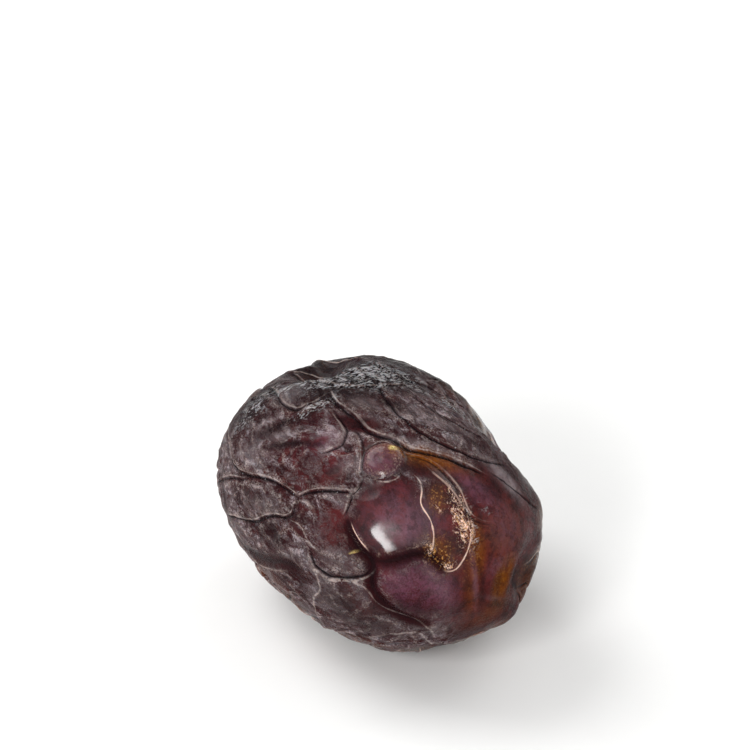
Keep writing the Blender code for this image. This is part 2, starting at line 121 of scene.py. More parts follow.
# Lights in metres: right of, towards and above the fruit as the camera sees it, width, height, and how many
# degrees each is rolled
TOP_LIGHT = (-0.42, -0.27, 0.52, 0.5, 0.5, 0)
STRIP_LIGHT = (-0.25, 0.47, 0.27, 0.14, 0.32, 40)
SIDE_LIGHT = (0.38, -0.40, 0.45, 0.5, 0.4, 0)


# Folds of the near side: section, depth (a ridge's is negative), and the places that the fold runs through,
# across and up from the fruit's middle in the plane of the view
FOLDS = {
    "flap_edge": ("flap", 0.55, [(-15.6, 8.8), (-15.8, 6), (-15.3, 4), (-14.8, 3.3), (-14, 2.9), (-11, 2.1),
        (-8.3, 0.3)]),
    "flap_root": ("hair", 0.28, [(-17.1, 1.8), (-16, 2.4), (-15.3, 2.5), (-14.1, 2.3), (-13.4, 2.5)]),
    "plate_low_edge": ("flap", 0.5, [(-8.9, 0.2), (-7.8, 0.8), (-4, 1.1), (-3, 0.9), (-2.4, 0.4)]),
    "facet_upper_left": ("crease", 0.42, [(-3.9, -1.9), (-2.6, 0.9), (-1.7, 2.2), (-1.5, 2.9)]),
    "plate_right_edge": ("flap", 0.3, [(-1.9, 2.2), (-1.6, 5.5), (-2.2, 7.3), (-2.9, 8.1)]),
    "short_wire": ("wire", -0.14, [(-4.6, 4.7), (-2.2, 5.2)]),
    "purple_plate_edge": ("flap", 0.36, [(-6.6, 5), (-4.9, 5.4), (-4, 6.1), (-3.5, 7.2), (-4.9, 9.9)]),
    "blob_groove": ("crease", 0.7, [(-11.9, 12.3), (-10.7, 11.2), (-10.2, 10.3), (-9.5, 9.9), (-8.5, 9.8),
        (-7.5, 10.1), (-5, 11.5)]),
    "crown_groove": ("crease", 0.6, [(-9.6, 14.1), (-8, 13.8), (-3.8, 12.15), (-2, 12.05), (1.5, 12.3),
        (2.8, 12.2), (3.6, 11.8)]),
    "crown_branch": ("crease", 0.34, [(-0.6, 15), (0.3, 14), (2.5, 12.9), (3.2, 12.3)]),
    "long_valley": ("flap", 0.62, [(-5.4, 11.8), (-5, 11), (-4.3, 10.3), (-2.6, 9.2), (-1.2, 7.6), (0, 6.95),
        (1, 6.75), (3, 5.6), (7, 4.7), (11.4, 2.6)]),
    "second_groove": ("seam", 0.52, [(-0.3, 13.2), (0.1, 11.9), (2.5, 8.9), (4.2, 7.4), (10.9, 4.3),
        (13.6, 3.8)]),
    "soft_groove": ("seam", 0.24, [(2.4, 12), (3.8, 11.2), (4.2, 10.6), (5, 10.2), (7.5, 8)]),
    "short_flap": ("seam", 0.32, [(5.6, 10.1), (6.3, 9.4), (11.5, 6.2)]),
    "rim_groove": ("seam", 0.36, [(2, 13.5), (2.8, 12.9), (4, 12.7), (8.7, 10.1), (12, 6)]),
    "right_flap": ("seam", 0.34, [(11.2, 3.3), (16, -0.2), (16.7, -1)]),
    "purple_strip": ("flap", 0.22, [(1.7, 5.6), (2.5, 5.1), (5.1, 4.3), (8, 1.7), (10, -1.8), (11, -2.3),
        (12.2, -2.4)]),
    "strip_ridge": ("ridge", -0.16, [(4.5, 4.2), (5.9, 2.9), (7.1, 1.9), (8.3, 0.6), (9.3, -0.9)]),
    "dome_top": ("wire", -0.26, [(-1.2, 5.4), (-0.6, 6), (0.3, 6.3), (1.2, 6.1), (1.9, 5.5)]),
    "dome_foot": ("wire", -0.3, [(-0.2, 2.2), (0.5, 2), (1.1, 2), (1.8, 2.3), (2.3, 2.9)]),
    "facet_top_wire": ("wire", -0.16, [(-2.9, 0.2), (-2.2, 1.4), (-1.7, 2.2)]),
    "facet_right_wire": ("wire", -0.45, [(3.4, 3.1), (4.2, 2.3), (4.5, 1.3), (4.4, -0.3), (5.5, -2.2),
        (5.75, -3.2), (5.75, -4.2), (5.4, -5.6)]),
    "amber_wire": ("wire", -0.34, [(10, -2.9), (8.5, -6.5), (8, -7), (7.3, -7.2), (6.5, -7)]),
    "pink_ridge": ("ridge", -0.32, [(-3.1, -1.9), (-2.7, -2.8), (-1, -5.3)]),
    "facet_foot": ("valley", 0.62, [(-1.4, -5.6), (0.3, -6.2), (1.5, -6.1), (4, -5.4), (5, -5.4),
        (6.2, -6.2), (7.4, -7.9)]),
    "red_valley": ("valley", 0.72, [(-3.8, -1), (-2.1, -4.7), (-0.8, -6.1), (-0.5, -7), (-0.7, -8),
        (-0.4, -9.2), (0.2, -10), (6, -13)]),
    "left_plate_foot": ("flap", 0.46, [(-16.6, -0.2), (-16, -1.2), (-15, -1.7), (-13, -2.1), (-11, -1.5),
        (-9.6, -1.6), (-9.1, -1.3), (-8.6, 0.1)]),
    "curl": ("ridge", -0.22, [(-8.4, 0.3), (-7.3, -0.2), (-6.8, -0.8), (-6.7, -1.8)]),
    "mid_ridge": ("ridge", -0.26, [(-9.6, -1.8), (-8, -2.7), (-7.7, -3.4), (-6.1, -5.4)]),
    "fringe_wire_a": ("wire", -0.22, [(-9.3, -4.7), (-8.9, -6), (-8, -7.1)]),
    "fringe_wire_b": ("wire", -0.2, [(-7.5, -5), (-7.1, -6.8)]),
    "left_hollow": ("valley", 0.4, [(-14.6, -4.2), (-13.4, -5.4), (-11.6, -6.2), (-10.2, -6.4),
        (-7.6, -7.3)]),
    "tongue_foot": ("flap", 0.5, [(-0.4, -6.6), (-1.3, -7.55), (-2, -7.75), (-6, -7.25), (-6.5, -6.9),
        (-6.95, -6.2), (-7.2, -4.4)]),
    "low_plate_left": ("ridge", -0.26, [(-7.8, -6.3), (-7, -6.9), (-5.9, -8.8), (-6.7, -10), (-6.7, -10.7),
        (-6, -12.3), (-5.2, -13.3)]),
    "low_plate_brow": ("brow", -0.26, [(5.9, -14.4), (5.4, -13.3), (4.5, -12.6), (0, -10.4), (-1.5, -8.7),
        (-3, -8.1), (-5.5, -7.9)]),
    "under_ridge_left": ("ridge", -0.26, [(-9.4, -10), (-6, -12.9), (-2.4, -14), (-1.1, -14.8)]),
    "under_ridge_right": ("ridge", -0.22, [(-1.6, -14.1), (1.5, -13.6), (4, -13.6), (5.5, -14.8),
        (7.5, -14.9), (9.5, -14.6)]),
    "left_fringe_a": ("ridge", -0.22, [(-14.5, -4.6), (-12.5, -6.5), (-11.3, -7), (-9.8, -7.3)]),
    "left_fringe_b": ("ridge", -0.24, [(-13.6, -6.3), (-12.5, -7.1), (-7.8, -9.7)]),
    "left_fringe_c": ("ridge", -0.24, [(-15.8, -2.2), (-14.1, -4.4), (-13.8, -5.2)]),
    "left_fringe_d": ("ridge", -0.22, [(-12.2, -7.6), (-10.8, -8.8), (-8.6, -10.2)]),
    "apex_band": ("soft", -0.3, [(9.4, -4.8), (9.8, -7.4), (9.7, -9.4), (10.1, -11), (11, -12.6)]),
    "apex_flap": ("soft", -0.25, [(9.7, -8.4), (12.8, -11.5)]),
    "apex_lobe": ("soft", -0.35, [(11, -9.2), (11.2, -7), (11.9, -6.1), (13, -5.5), (14.5, -5.1),
        (15.8, -5)]),
    "apex_edge": ("soft", 0.36, [(16.5, -4.3), (15.2, -7), (15.2, -9.5), (14.9, -10.9)]),
}

# Swells and hollows of the near side: place across and up, radius along and across, turn in degrees, height,
# and how squarely the edge falls
BUMPS = {
    "facet_flat": (1.2, -3.8, 2.5, 2.0, -58, -0.28, 2),
    "dome": (0.45, 4.3, 1.95, 2.0, 0, 0.7, 8),
    "purple_pad": (4.1, -9, 4, 2.9, -25, 0.9, 3),
    "tongue": (-3.8, -6.25, 3, 1.15, -8, 0.4, 3),
    "low_plate": (-2.6, -10.9, 3.9, 2.5, -15, 0.5, 2.5),
    "facet": (1.4, -2.0, 3.8, 3.8, 0, 0.5, 4),
    "left_plate": (-12.4, 0.3, 3.8, 1.7, -8, 0.35, 2.5),
    "crown_pad": (-8.4, 11.9, 2.6, 1.5, 10, 0.55, 2),
    "crown_ridge": (-6.9, 9.9, 1.5, 0.55, 28, 0.45, 2),
    "blue_hollow": (-8.3, -8.5, 1.3, 1.1, 0, -0.3, 2),
    "left_pit": (-11.3, -3.3, 0.8, 0.7, 0, -0.5, 2),
    "notch": (-3.3, 5.9, 0.6, 0.8, 0, -0.5, 2),
    "dark_hollow": (-3, 8.5, 1.1, 2.2, 35, -0.6, 2),
    "amber_hollow": (13, -8.3, 0.9, 1.7, -10, -0.5, 2),
    "pitted_hollow": (7.6, -2.6, 1.8, 3.2, -5, -0.45, 3),
    "middle_hollow": (-4.8, -1.4, 2.2, 1.7, 0, -0.4, 2.5),
    "middle_swell": (-5, -3.8, 1.6, 1.3, 0, 0.25, 2),
    "purple_plate": (-10.6, 5.4, 4.4, 2.6, -5, 0.35, 2.5),
    "left_swell": (-9.5, -4.6, 1.8, 1.2, -20, 0.25, 2),
    "purple_strip_swell": (11, 0.6, 2.6, 1.1, -42, 0.25, 2),
    "upper_strip_swell": (9, 5.9, 4, 1.3, -38, 0.15, 2),
    "end_swell": (13.2, -2.9, 2.4, 1.7, 0, 0.2, 2),
    "flat_shoulder": (13.9, 6.2, 5.5, 3, -40, -1.5, 2),
    "crown_slope": (-6.4, 14.6, 2.6, 3, 20, -2.2, 2),
    "low_end": (13.6, -11.8, 2, 2.5, 0, 0.8, 2),
    "end_slope": (15.9, -7.6, 3, 2.2, 60, -1.6, 2),
    "left_cheek": (-16.9, 3.5, 3, 3, 0, 0.2, 2),
    "crown": (2, 15.3, 4, 3, 0, 0.3, 2),
    "right_cheek": (17.2, 0, 2.5, 2.5, 0, 0.5, 2),
    "shoulder": (8, 11.8, 4, 3, -40, 0.5, 2),
    "left_crown": (-11, 14, 4, 3, 20, -0.3, 2),
    "underside": (9, -14.8, 5, 3, 0, -0.5, 2),
}

# How far inwards a swell or patch reaches, as a share of its two radii
INWARD_SHARE = 0.6

# Folds and swells of the far sides and the underside, drawn by rule: long folds in lanes, and short ones that
# branch across them
SEED = 22
LANES, LANE_REACH, LANE_END, LANE_POINTS = 18, 0.93, 0.8, 9
LANE_LENGTH, LANE_DEPTH, LANE_START, LANE_OVERLAP = (9, 19), (0.28, 0.62), (0, 3), (0.72, 1.02)
LANE_SHIFT, LANE_WANDER, LANE_SWAY, SWAY_PACE = 0.25, 0.055, 0.12, (0.25, 0.5)
BRANCHES, BRANCH_LENGTH, BRANCH_DEPTH = 40, (2.5, 6), (0.2, 0.45)
BRANCH_SPREAD, BRANCH_SLANT, BRANCH_BOW, BRANCH_POINTS = (0.8, 1, 1), 0.9, 0.32, 6
FAR_SWELLS, SWELL_HEIGHT, SWELL_SPREAD, SWELL_SLANT = 26, (-0.55, 0.5), (1.4, 1, 1), 0.5
SWELL_LENGTH, SWELL_WIDTH, SWELL_EDGE = (3, 6), (1.6, 3), 2.5
FAR_SECTIONS = ("flap", "flap", "crease", "ridge", "flap", "crease")
BRANCH_SECTIONS = ("crease", "hair", "ridge", "flap")
RIDGE_SHARE = -0.6

# Far folds are cut where the near view would show them: the largest cosine to the eye, the fewest steps of a
# fold worth keeping, and how near one may run to another and for how long
MOST_SEEN, SHORTEST_RUN = 0.2, 7
CLOSEST_FOLDS, LONGEST_OVERLAP = 1.1, 3.5

# Wrinkles finer than the folds: the size of their cells along and round the fruit, how far slower noise
# bends them, and their heights on the near side and beyond it
BEND_CELL = 5.0
COARSE_CELL, COARSE_BEND, COARSE_HEIGHT = (5.5, 2.6, 2.6), 0.7, (0.16, 0.17)
FINE_CELL, FINE_BEND, FINE_HEIGHT = (2.2, 1.2, 1.2), 0.9, (0.08, 0.08)
COARSE_SEED, FINE_SEED, BEND_SEED = 8, 9, 3
CREST_SHARPNESS, CREST_MIDDLE, FAR_FROM = 2.2, 0.4, 0.35

# Hollows that the material darkens with painted shade: how far they are looked for, in points of the grid, and
# their full depth
HOLLOWS = {"hollow": (6, 0.05), "broad_hollow": (60, 0.30)}

# Grid of the skin: rings from pole to pole, and points round each ring
RINGS, ROUND = 250, 396

# Patches beyond the near side: width of their cells, amount and seed. The kinds in LEANING grow towards the
# blossom end, and the others are alike all along
SPREAD = {
    "bare": (4.5, 0.75, 51),
    "amber": (3.2, 0.7, 52),
    "red": (4.0, 0.8, 53),
    "purple": (3.6, 0.6, 54),
    "flecks": (3.0, 0.25, 55),
    "dark": (5.0, 0.7, 56),
    "pale": (4.0, 0.7, 57),
    "wet": (3.4, 0.7, 58),
    "painted_sheen": (3.0, 0.7, 59),
}
LEANING, EVEN_SHARE = ("bare", "wet", "amber", "red"), 0.7
SPREAD_STRETCH, SPREAD_GAIN, SPREAD_LEAN, SPREAD_START = 1.6, 2.2, 0.35, 0.22
SPREAD_FROM, SPREAD_EASE, LARGEST_LEAN = 0.3, 0.4, 1.4

# Where the skin's colour and gloss change on the near side, by what changes: place across and up, radius
# along and across, turn in degrees, amount, and how squarely the edge falls
PATCHES = {
    "bare": {
        "facet": (1.3, -1.6, 3.9, 3.9, 0, 1, 5),
        "glitter": (7.2, -1.6, 2.4, 4.6, 8, 0.95, 4),
        "upper": (6.4, 3.4, 4.4, 1.7, -22, 0.9, 3),
        "valley": (3.2, -7.4, 5.6, 2.6, -25, 0.6, 3),
        "end": (14.5, -5.6, 9, 10, 0, 0.9, 5),
        "pad": (4.1, -9, 4.2, 3.2, -25, 0.6, 4),
        "strip": (11, 0.6, 3.8, 1.6, -42, 0.75, 3),
        "left": (-4.6, -2.6, 2.8, 2.6, 0, 0.55, 3),
        "plate": (-5.2, 2.6, 3.4, 1.8, 8, 0.45, 2.5),
        "dome": (0.5, 4.4, 2.2, 2.2, 0, 0.7, 6),
        "spot": (-6.1, 6.3, 1.1, 0.6, 10, 0.9, 2),
        "upper_valley": (-2.4, 8.5, 3.2, 1, -42, 0.8, 3),
    },
    "wet": {
        "facet": (1.6, -2.4, 4.4, 3, 20, 1, 4),
        "glitter": (7.6, -2, 2.2, 5, 12, 0.8, 4),
        "hook": (7.4, -6.2, 2.4, 1.6, 20, 0.9, 3),
        "dome": (0.6, 4.2, 2.5, 2.6, 0, 0.45, 4),
        "wire_foot": (5.6, -5.2, 1.3, 1.5, 0, 1, 3),
    },
    "amber": {
        "upper": (5, 4.7, 3.4, 1, -18, 1.1, 2.5),
        "glitter": (6.2, 0.3, 0.8, 1.3, 0, 0.7, 3),
        "glitter_foot": (6.3, -5.2, 1.2, 1.6, 25, 0.95, 3),
        "end": (13.2, -3.4, 2.8, 2.6, 0, 0.45, 2.5),
        "low_end": (12.4, -11, 2.8, 1.4, 25, 0.45, 2),
        "band": (10.3, -5.4, 1, 2.9, -6, 0.8, 3),
        "pool": (13.3, -8.2, 1.3, 3, -14, 1, 4),
        "low_band": (9.6, -9.4, 0.8, 2.6, 4, 0.5, 2),
    },
    "red": {
        "end": (13.6, -5.2, 7.5, 6.6, 0, 0.8, 3),
        "facet": (1, -0.9, 3.3, 3.4, 0, 0.75, 3),
        "glitter": (7.4, -1.8, 1.8, 3.6, 5, 0.8, 3),
        "upper": (9, 2.5, 3.4, 1, -40, 0.6, 2),
        "valley": (0, -7.6, 1.3, 3.6, -25, 0.7, 2),
        "low_valley": (5.6, -11.8, 3.4, 1, -32, 0.5, 2),
        "middle": (-4.8, -2.2, 2.6, 2.2, 0, 0.45, 2.5),
        "plate": (-6.4, 4.6, 4.6, 2.4, -10, 0.7, 2.5),
        "dome": (0.5, 4.4, 2, 2, 0, 0.35, 3),
        "spot": (-6, 6.4, 1.2, 0.7, 10, 1, 2),
        "upper_valley": (-2.4, 8.5, 3.2, 1, -42, 0.9, 3),
    },
    "purple": {
        "glitter": (6.2, -2.6, 1.2, 1.3, 0, 0.6, 2.5),
        "dome": (0.5, 4.3, 2, 2, 0, 0.8, 4),
        "pad": (4.1, -8.7, 3.8, 2.7, -25, 1, 3),
        "facet": (1.6, -1.6, 3.2, 2.8, -10, 0.7, 2.5),
        "strip": (11.2, 0.3, 3.2, 1.1, -42, 0.7, 2),
        "plate": (-5.6, 6.7, 2.6, 2.4, 0, 0.55, 2),
        "end": (12.6, -6.6, 1.4, 1.3, 15, 0.6, 2.5),
        "band": (10, -7.9, 0.4, 3, 4, 0.9, 2.5),
        "tongue": (-3.8, -6.2, 3, 1.2, -8, 0.25, 3),
        "pink_ridge": (-2.1, -3.7, 1.4, 0.4, -52, 1, 2),
    },
    # Painted sheen: an even pale film laid where a broad light would show as soft reflections, on the plates,
    # facet, pad and ends
    "painted_sheen": {
        "low_plate": (-2.6, -11.2, 4.4, 2.4, -15, 0.45, 4),
        "tongue": (-3.8, -6.2, 3, 1.2, -8, 0.7, 4),
        "end": (13.4, -2.6, 2.8, 2.4, -30, 0.75, 3),
        "end_right": (16, -2.6, 3, 3.4, 10, 0.45, 3),
        "shoulder": (13.5, 2.2, 3.4, 1.4, -42, 0.9, 3),
        "strip": (5.5, 8.8, 4.6, 1.4, -36, 0.65, 3),
        "band": (9.6, 5.4, 3.6, 1, -35, 0.3, 3),
        "crown": (-1.6, 10.4, 1.9, 1, -50, 1, 3),
        "pad": (6.2, -8.4, 2.6, 0.9, -56, 0.85, 2.5),
        "pad_top": (2.4, -7.7, 2, 1, 30, 0.5, 2.5),
        "facet": (4, -2.6, 1.7, 2.4, -20, 1.3, 2.5),
        "strip_purple": (10.6, 0.9, 3.2, 1, -42, 0.6, 2.5),
        "dome": (0.5, 4.2, 1.5, 1.5, 0, 0.45, 2.5),
        "plate": (-3.3, 3.8, 1.5, 1.2, 0, 0.6, 3),
        "pink": (-4.9, 6.6, 1.2, 1.5, 0, 0.6, 2.5),
        "swell": (-9.9, 7.1, 1.5, 0.7, -20, 0.7, 2.5),
        "streak": (-11.9, 8.3, 1.6, 0.5, -12, 0.7, 2.5),
        "lower_left": (-13.4, 4.6, 2.2, 0.9, -28, 0.6, 2.5),
        "left_plate": (-11.6, -0.6, 3.2, 0.8, -10, 0.6, 2.5),
        "lobe": (12.7, -6.3, 1.6, 1, 15, 0.45, 2.5),
        "bottom": (6.4, -13, 3.6, 1.2, 12, 0.6, 3),
        "pad_blue": (-8.6, 11.8, 2.4, 1.8, 12, 1, 4),
        "band_pink": (10, -7.9, 0.3, 2.8, 4, 0.8, 2.5),
        "lobe_line": (12, -10.1, 1.6, 0.22, -28, 0.8, 2),
        "facet_middle": (2.2, -1.6, 2.4, 1.6, -20, 0.5, 2.5),
        "pink_ridge": (-2.1, -3.7, 1.4, 0.3, -52, 1, 2),
        "strip_edge": (4.6, 6, 3.6, 0.5, -24, 0.7, 2),
        "crown_top": (-1, 13.6, 4.8, 3.2, 0, 0.9, 2),
    },
    # pale: thicker chalky film, and in places a painted highlight or sheen, as on the crown ridge, the pad,
    # the pink ridge and the shoulder
    "pale": {
        "upper_strip": (5, 8.4, 4, 1.2, -35, 0.5, 2.5),
        "plate": (-4.8, 6.7, 1.5, 1.6, 0, 0.6, 2.5),
        "ridge": (-6.7, 10.1, 1.8, 0.7, 28, 1, 2.5),
        "left_rim": (-16.5, 4.4, 0.6, 2.4, 8, 0.8, 2.5),
        "streak": (-11.9, 8.4, 1.6, 0.4, -12, 0.9, 2),
        "swell": (-9.9, 7, 1.3, 0.7, -20, 0.3, 2),
        "lower_left": (-13.5, 4.2, 2.4, 1, -28, 0.4, 2),
        "pad": (-8.4, 11.8, 2.4, 1.8, 12, 1, 3),
        "pink_ridge": (-2, -3.8, 1.1, 0.22, -52, 0.6, 2),
        "strip_edge": (4.6, 6, 3.6, 0.5, -24, 0.6, 2),
        "plate_corner": (-2.9, 4.2, 0.9, 0.7, 0, 0.4, 2),
        "shoulder": (13.4, 2.4, 3.4, 1.4, -42, 1, 3),
    },
    # dark: darker patches, partly the skin's own dark colour, as at the crown, and partly painted shade, as on
    # the low plate
    "dark": {
        "low_plate": (-2.6, -11.4, 4.4, 2.2, -15, 0.58, 3),
        "crown": (-3, 13.6, 7.6, 5.5, 2, 1, 5),
        "crown_right": (6, 12.6, 7.5, 3, -38, 1, 4),
        "valley": (-2.4, 8.5, 3.2, 0.9, -42, 0.85, 3),
        "upper_left": (-11.4, 7.4, 3, 0.8, -8, 0.6, 2),
        "streak": (-10.1, 8.1, 1.6, 0.4, 0, 0.8, 2),
        "long_streak": (-9, 5.9, 3.2, 0.45, -17, 0.9, 2.5),
        "spot": (-7.2, 4.5, 1.2, 0.7, -10, 0.6, 2),
        "strip": (-1.6, 9.7, 2.8, 0.5, -52, 0.35, 2),
        "middle": (-8.6, -1.6, 1.6, 0.6, -15, 0.6, 2),
        "left_plate": (-12, 0.2, 3.6, 1.3, -8, 0.35, 2.5),
        "plate_low": (-8, 3.1, 2.4, 1, 5, 0.4, 2),
        "crown_strip": (3.2, 11.9, 3.2, 0.5, -28, 0.6, 2),
        "facet": (-0.6, 1.3, 1.6, 1, -30, 0.5, 2),
        "facet_low": (3.9, -0.4, 0.7, 2, 10, 0.5, 2),
        "outline": (-13, 10.6, 4.4, 3.4, 42, 0.85, 3),
        "pad_foot": (3.4, -10.8, 2.6, 0.9, -20, 0.5, 2),
        "band_left": (9.2, -8.2, 0.35, 2.4, 4, 0.4, 2),
        "band_right": (10.8, -8.6, 0.3, 2.2, 6, 0.55, 2),
        "lobe_foot": (11.8, -10.8, 1.8, 0.3, -28, 0.5, 2),
        "pool": (14.6, -8, 0.4, 2.2, -12, 0.5, 2),
        "left_rim": (-16.2, 0.6, 0.8, 2.6, 12, 0.6, 2),
        "left_foot": (-13, -2.6, 2.6, 0.6, -8, 0.6, 2),
        "plate_top": (-13, 7, 1.6, 0.5, -20, 0.5, 2),
        "facet_side": (-1.6, -1.6, 0.8, 2.4, 12, 0.4, 2),
        "groove": (1.1, 10.4, 2.2, 0.6, -58, 0.75, 2.5),
        "plate_foot": (-10.6, 3.4, 2.6, 0.6, -22, 0.5, 2),
        "purple_band": (-8, 8.9, 2.6, 0.5, 12, 0.5, 2),
        "cheek": (-15.6, 7.6, 1.2, 1.6, 30, 0.6, 2),
        "tongue": (-3.8, -6.2, 3.2, 1.3, -8, 0.25, 3),
        "strip_foot": (10.4, 5.9, 3, 0.35, -36, 0.35, 2),
        "crown_top": (-5.5, 15.4, 7, 4, 12, 0.9, 4),
        "left_pit": (-11.2, -3.2, 2.2, 1.2, -10, 0.7, 2),
        "hollow": (-8.3, -8.5, 1.5, 1.2, 0, 0.5, 2),
    },
    # flecks: dry specks on the film, and on wet skin painted glitter highlights, as at the hook and the
    # glittering patch
    "flecks": {
        "hook": (7.2, -6.6, 0.7, 0.35, 10, 0.9, 3),
        "hook_back": (9.6, -2.9, 0.6, 1.4, 12, 1.3, 3),
        "amber": (6.3, -0.6, 0.45, 0.3, -30, 0.8, 2),
        "strip_low": (6.6, 7.2, 4.8, 0.5, -33, 0.25, 2),
        "plate_rim": (-13, 4, 2.6, 0.8, -28, 0.2, 2),
        "outline": (-12.6, 10.4, 3.4, 1.8, 42, 0.5, 2),
        "wire_foot": (5.5, -5, 0.5, 0.8, 10, 1, 2.5),
        "groove": (-3.2, 12.4, 4.2, 0.4, -6, 0.6, 2),
        "pad_rim": (-8.9, 12.1, 2.4, 1.2, 14, 0.7, 2.5),
        "crown": (-0.8, 13.6, 3.8, 3, 0, 0.85, 2),
        "crown_left": (-6, 13, 2.6, 2, 10, 0.6, 2),
        "ridge": (-6.7, 10, 1.7, 0.7, 30, 0.9, 2),
        "rim": (8.2, 10.2, 6.5, 1.2, -40, 0.5, 2),
        "strip": (11.4, -0.9, 1.4, 0.5, -20, 0.25, 2),
        "glitter": (8.7, -1.4, 0.9, 2.8, 18, 1, 2.5),
    },
    "sugar": {
        "speck": (1.6, 5.3, 0.4, 0.34, 0, 1, 5),
        "gap": (-2.6, -5.25, 0.34, 0.09, 15, 0.8, 3),
    },
}


def view_axes():
    """Right, up and back of the standpoint: back points from the fruit to the eye."""
    turn, lift = np.radians([SEEN_AZIMUTH, SEEN_ELEVATION])
    back = np.array([np.sin(turn) * np.cos(lift), -np.cos(turn) * np.cos(lift), np.sin(lift)])
    right = np.array([np.cos(turn), np.sin(turn), 0.0])
    return right, np.cross(back, right), back


def form_value(points):
    """1 on the plump form and less inside it, with its girth tapered along x.

    The value is |x/a|^n + (|y/b|^2 + |z/c|^2)^(n/2), to the power 1/n.
    """
    x, y, z = points[..., 0], points[..., 1], points[..., 2]
    girth = 1 + TAPER * x / HALF_LENGTH
    across = np.hypot(y / (HALF_WIDTH * girth), z / (HALF_HEIGHT * girth))
    return (np.abs(x / HALF_LENGTH) ** ROUNDNESS + across**ROUNDNESS) ** (1 / ROUNDNESS)


def on_form(points):
    """The points drawn towards or away from the middle until they lie on the plump form."""
    for _ in range(FORM_ROUNDS):
        points = points / form_value(points)[..., None]
    return points


def form_normal(points):
    """Unit normal of the plump form: its value's gradient, by central differences."""
    steps = SLOPE_STEP * np.eye(3)
    normal = np.stack([form_value(points + step) - form_value(points - step) for step in steps], -1)
    return normal / np.linalg.norm(normal, axis=-1, keepdims=True)


def seen_at(places):
    """Points of the plump form that the eye sees at the places of the view's plane: halving along each ray.

    A ray that passes the fruit by gives the point of the form nearest to it.
    """
    right, up, back = view_axes()
    places = np.asarray(places, float)
    eye = EYE_DISTANCE * back
    rays = places[:, :1] * right + places[:, 1:] * up - eye
    rays /= np.linalg.norm(rays, axis=1, keepdims=True)
    depths = EYE_DISTANCE + np.linspace(-1.5, 1.5, RAY_PLACES) * HALF_LENGTH
    deepest = depths[form_value(eye + depths[None, :, None] * rays[:, None]).argmin(1)]
    outside, inside = np.full(len(rays), EYE_DISTANCE - 2 * HALF_LENGTH), deepest
    for _ in range(RAY_HALVINGS):
        middle = (outside + inside) / 2
        within = form_value(eye + middle[:, None] * rays) < 1
        inside = np.where(within, middle, inside)
        outside = np.where(within, outside, middle)
    return on_form(eye + inside[:, None] * rays)


def smooth_path(points):
    """Even steps along a cubic curve through the points, by running length, laid on the plump form.

    The tangent at a point is the mean of the slopes on its two sides, each weighed by the other's length.
    """
    legs = np.linalg.norm(np.diff(points, axis=0), axis=1)
    run = np.r_[0, np.cumsum(legs)]
    slopes = np.diff(points, axis=0) / legs[:, None]
    inner = slopes[:-1] * legs[1:, None] + slopes[1:] * legs[:-1, None]
    tangents = np.vstack([slopes[:1], inner / (legs[:-1] + legs[1:])[:, None], slopes[-1:]])
    at = np.linspace(0, run[-1], max(int(run[-1] / PATH_STEP), 3) + 1)
    leg = np.clip(np.searchsorted(run, at, side="right") - 1, 0, len(legs) - 1)
    t = ((at - run[leg]) / legs[leg])[:, None]
    size = legs[leg][:, None]
    curve = (1 + 2 * t) * (1 - t) ** 2 * points[leg] + t * (1 - t) ** 2 * size * tangents[leg]
    curve = curve + t**2 * (3 - 2 * t) * points[leg + 1] + t**2 * (t - 1) * size * tangents[leg + 1]
    return on_form(curve)


def beside(path, points, reach):
    """The points within reach of a path: which, how far to its left, the share of its length, and left."""
    low, high = path.min(0) - reach, path.max(0) + reach
    near = np.flatnonzero(((points > low) & (points < high)).all(1))
    starts, legs = path[:-1], np.diff(path, axis=0)
    away = points[near][:, None] - starts
    share = np.clip((away * legs).sum(2) / (legs**2).sum(1), 0, 1)
    away -= share[..., None] * legs
    leg = (away**2).sum(2).argmin(1)
    row = np.arange(len(near))
    away, share = away[row, leg], share[row, leg]
    left = np.cross(form_normal(starts)[leg], legs[leg])
    left /= np.linalg.norm(left, axis=1, keepdims=True)
    side = np.sign((away * left).sum(1)) * np.linalg.norm(away, axis=1)
    close = np.abs(side) < reach
    return near[close], side[close], ((leg + share) / len(legs))[close], left[close]


def path_length(path):
    return np.linalg.norm(np.diff(path, axis=0), axis=1).sum()


def faded_ends(share, length, fade):
    """1 along a fold's middle, eased to 0 over the fade's length at each end."""
    ramp = np.clip(np.minimum(share, 1 - share) * length / fade, 0, 1)
    return ramp * ramp * (3 - 2 * ramp)


def fold_section(side, depth, section):
    """Height across a fold: a V whose walls rise exponentially to a rim, which fades as a bell curve."""
    wall_left, wall_right, rim_left, rim_right, reach, share = SECTIONS[section]
    wall = np.where(side > 0, wall_left, wall_right)
    rim = np.where(side > 0, rim_left, rim_right)
    out = np.sqrt(side**2 + FOLD_BOTTOM**2) - FOLD_BOTTOM
    fall = np.exp(-out / wall)
    return share * depth * (rim * (1 - fall) * np.exp(-((out / reach) ** 2)) - fall)


def facing(points):
    """Cosine between the plump form's normal and the way to the eye: 1 head on, 0 at the outline."""
    to_eye = EYE_DISTANCE * view_axes()[2] - points
    to_eye /= np.linalg.norm(to_eye, axis=-1, keepdims=True)
    return (form_normal(points) * to_eye).sum(-1)


def longest_run(wanted):
    """Start and end of the longest unbroken stretch of true values."""
    edges = np.flatnonzero(np.diff(np.r_[0, wanted.astype(int), 0]))
    starts, stops = edges[::2], edges[1::2]
    if not len(starts):
        return 0, 0
    best = (stops - starts).argmax()
    return starts[best], stops[best]


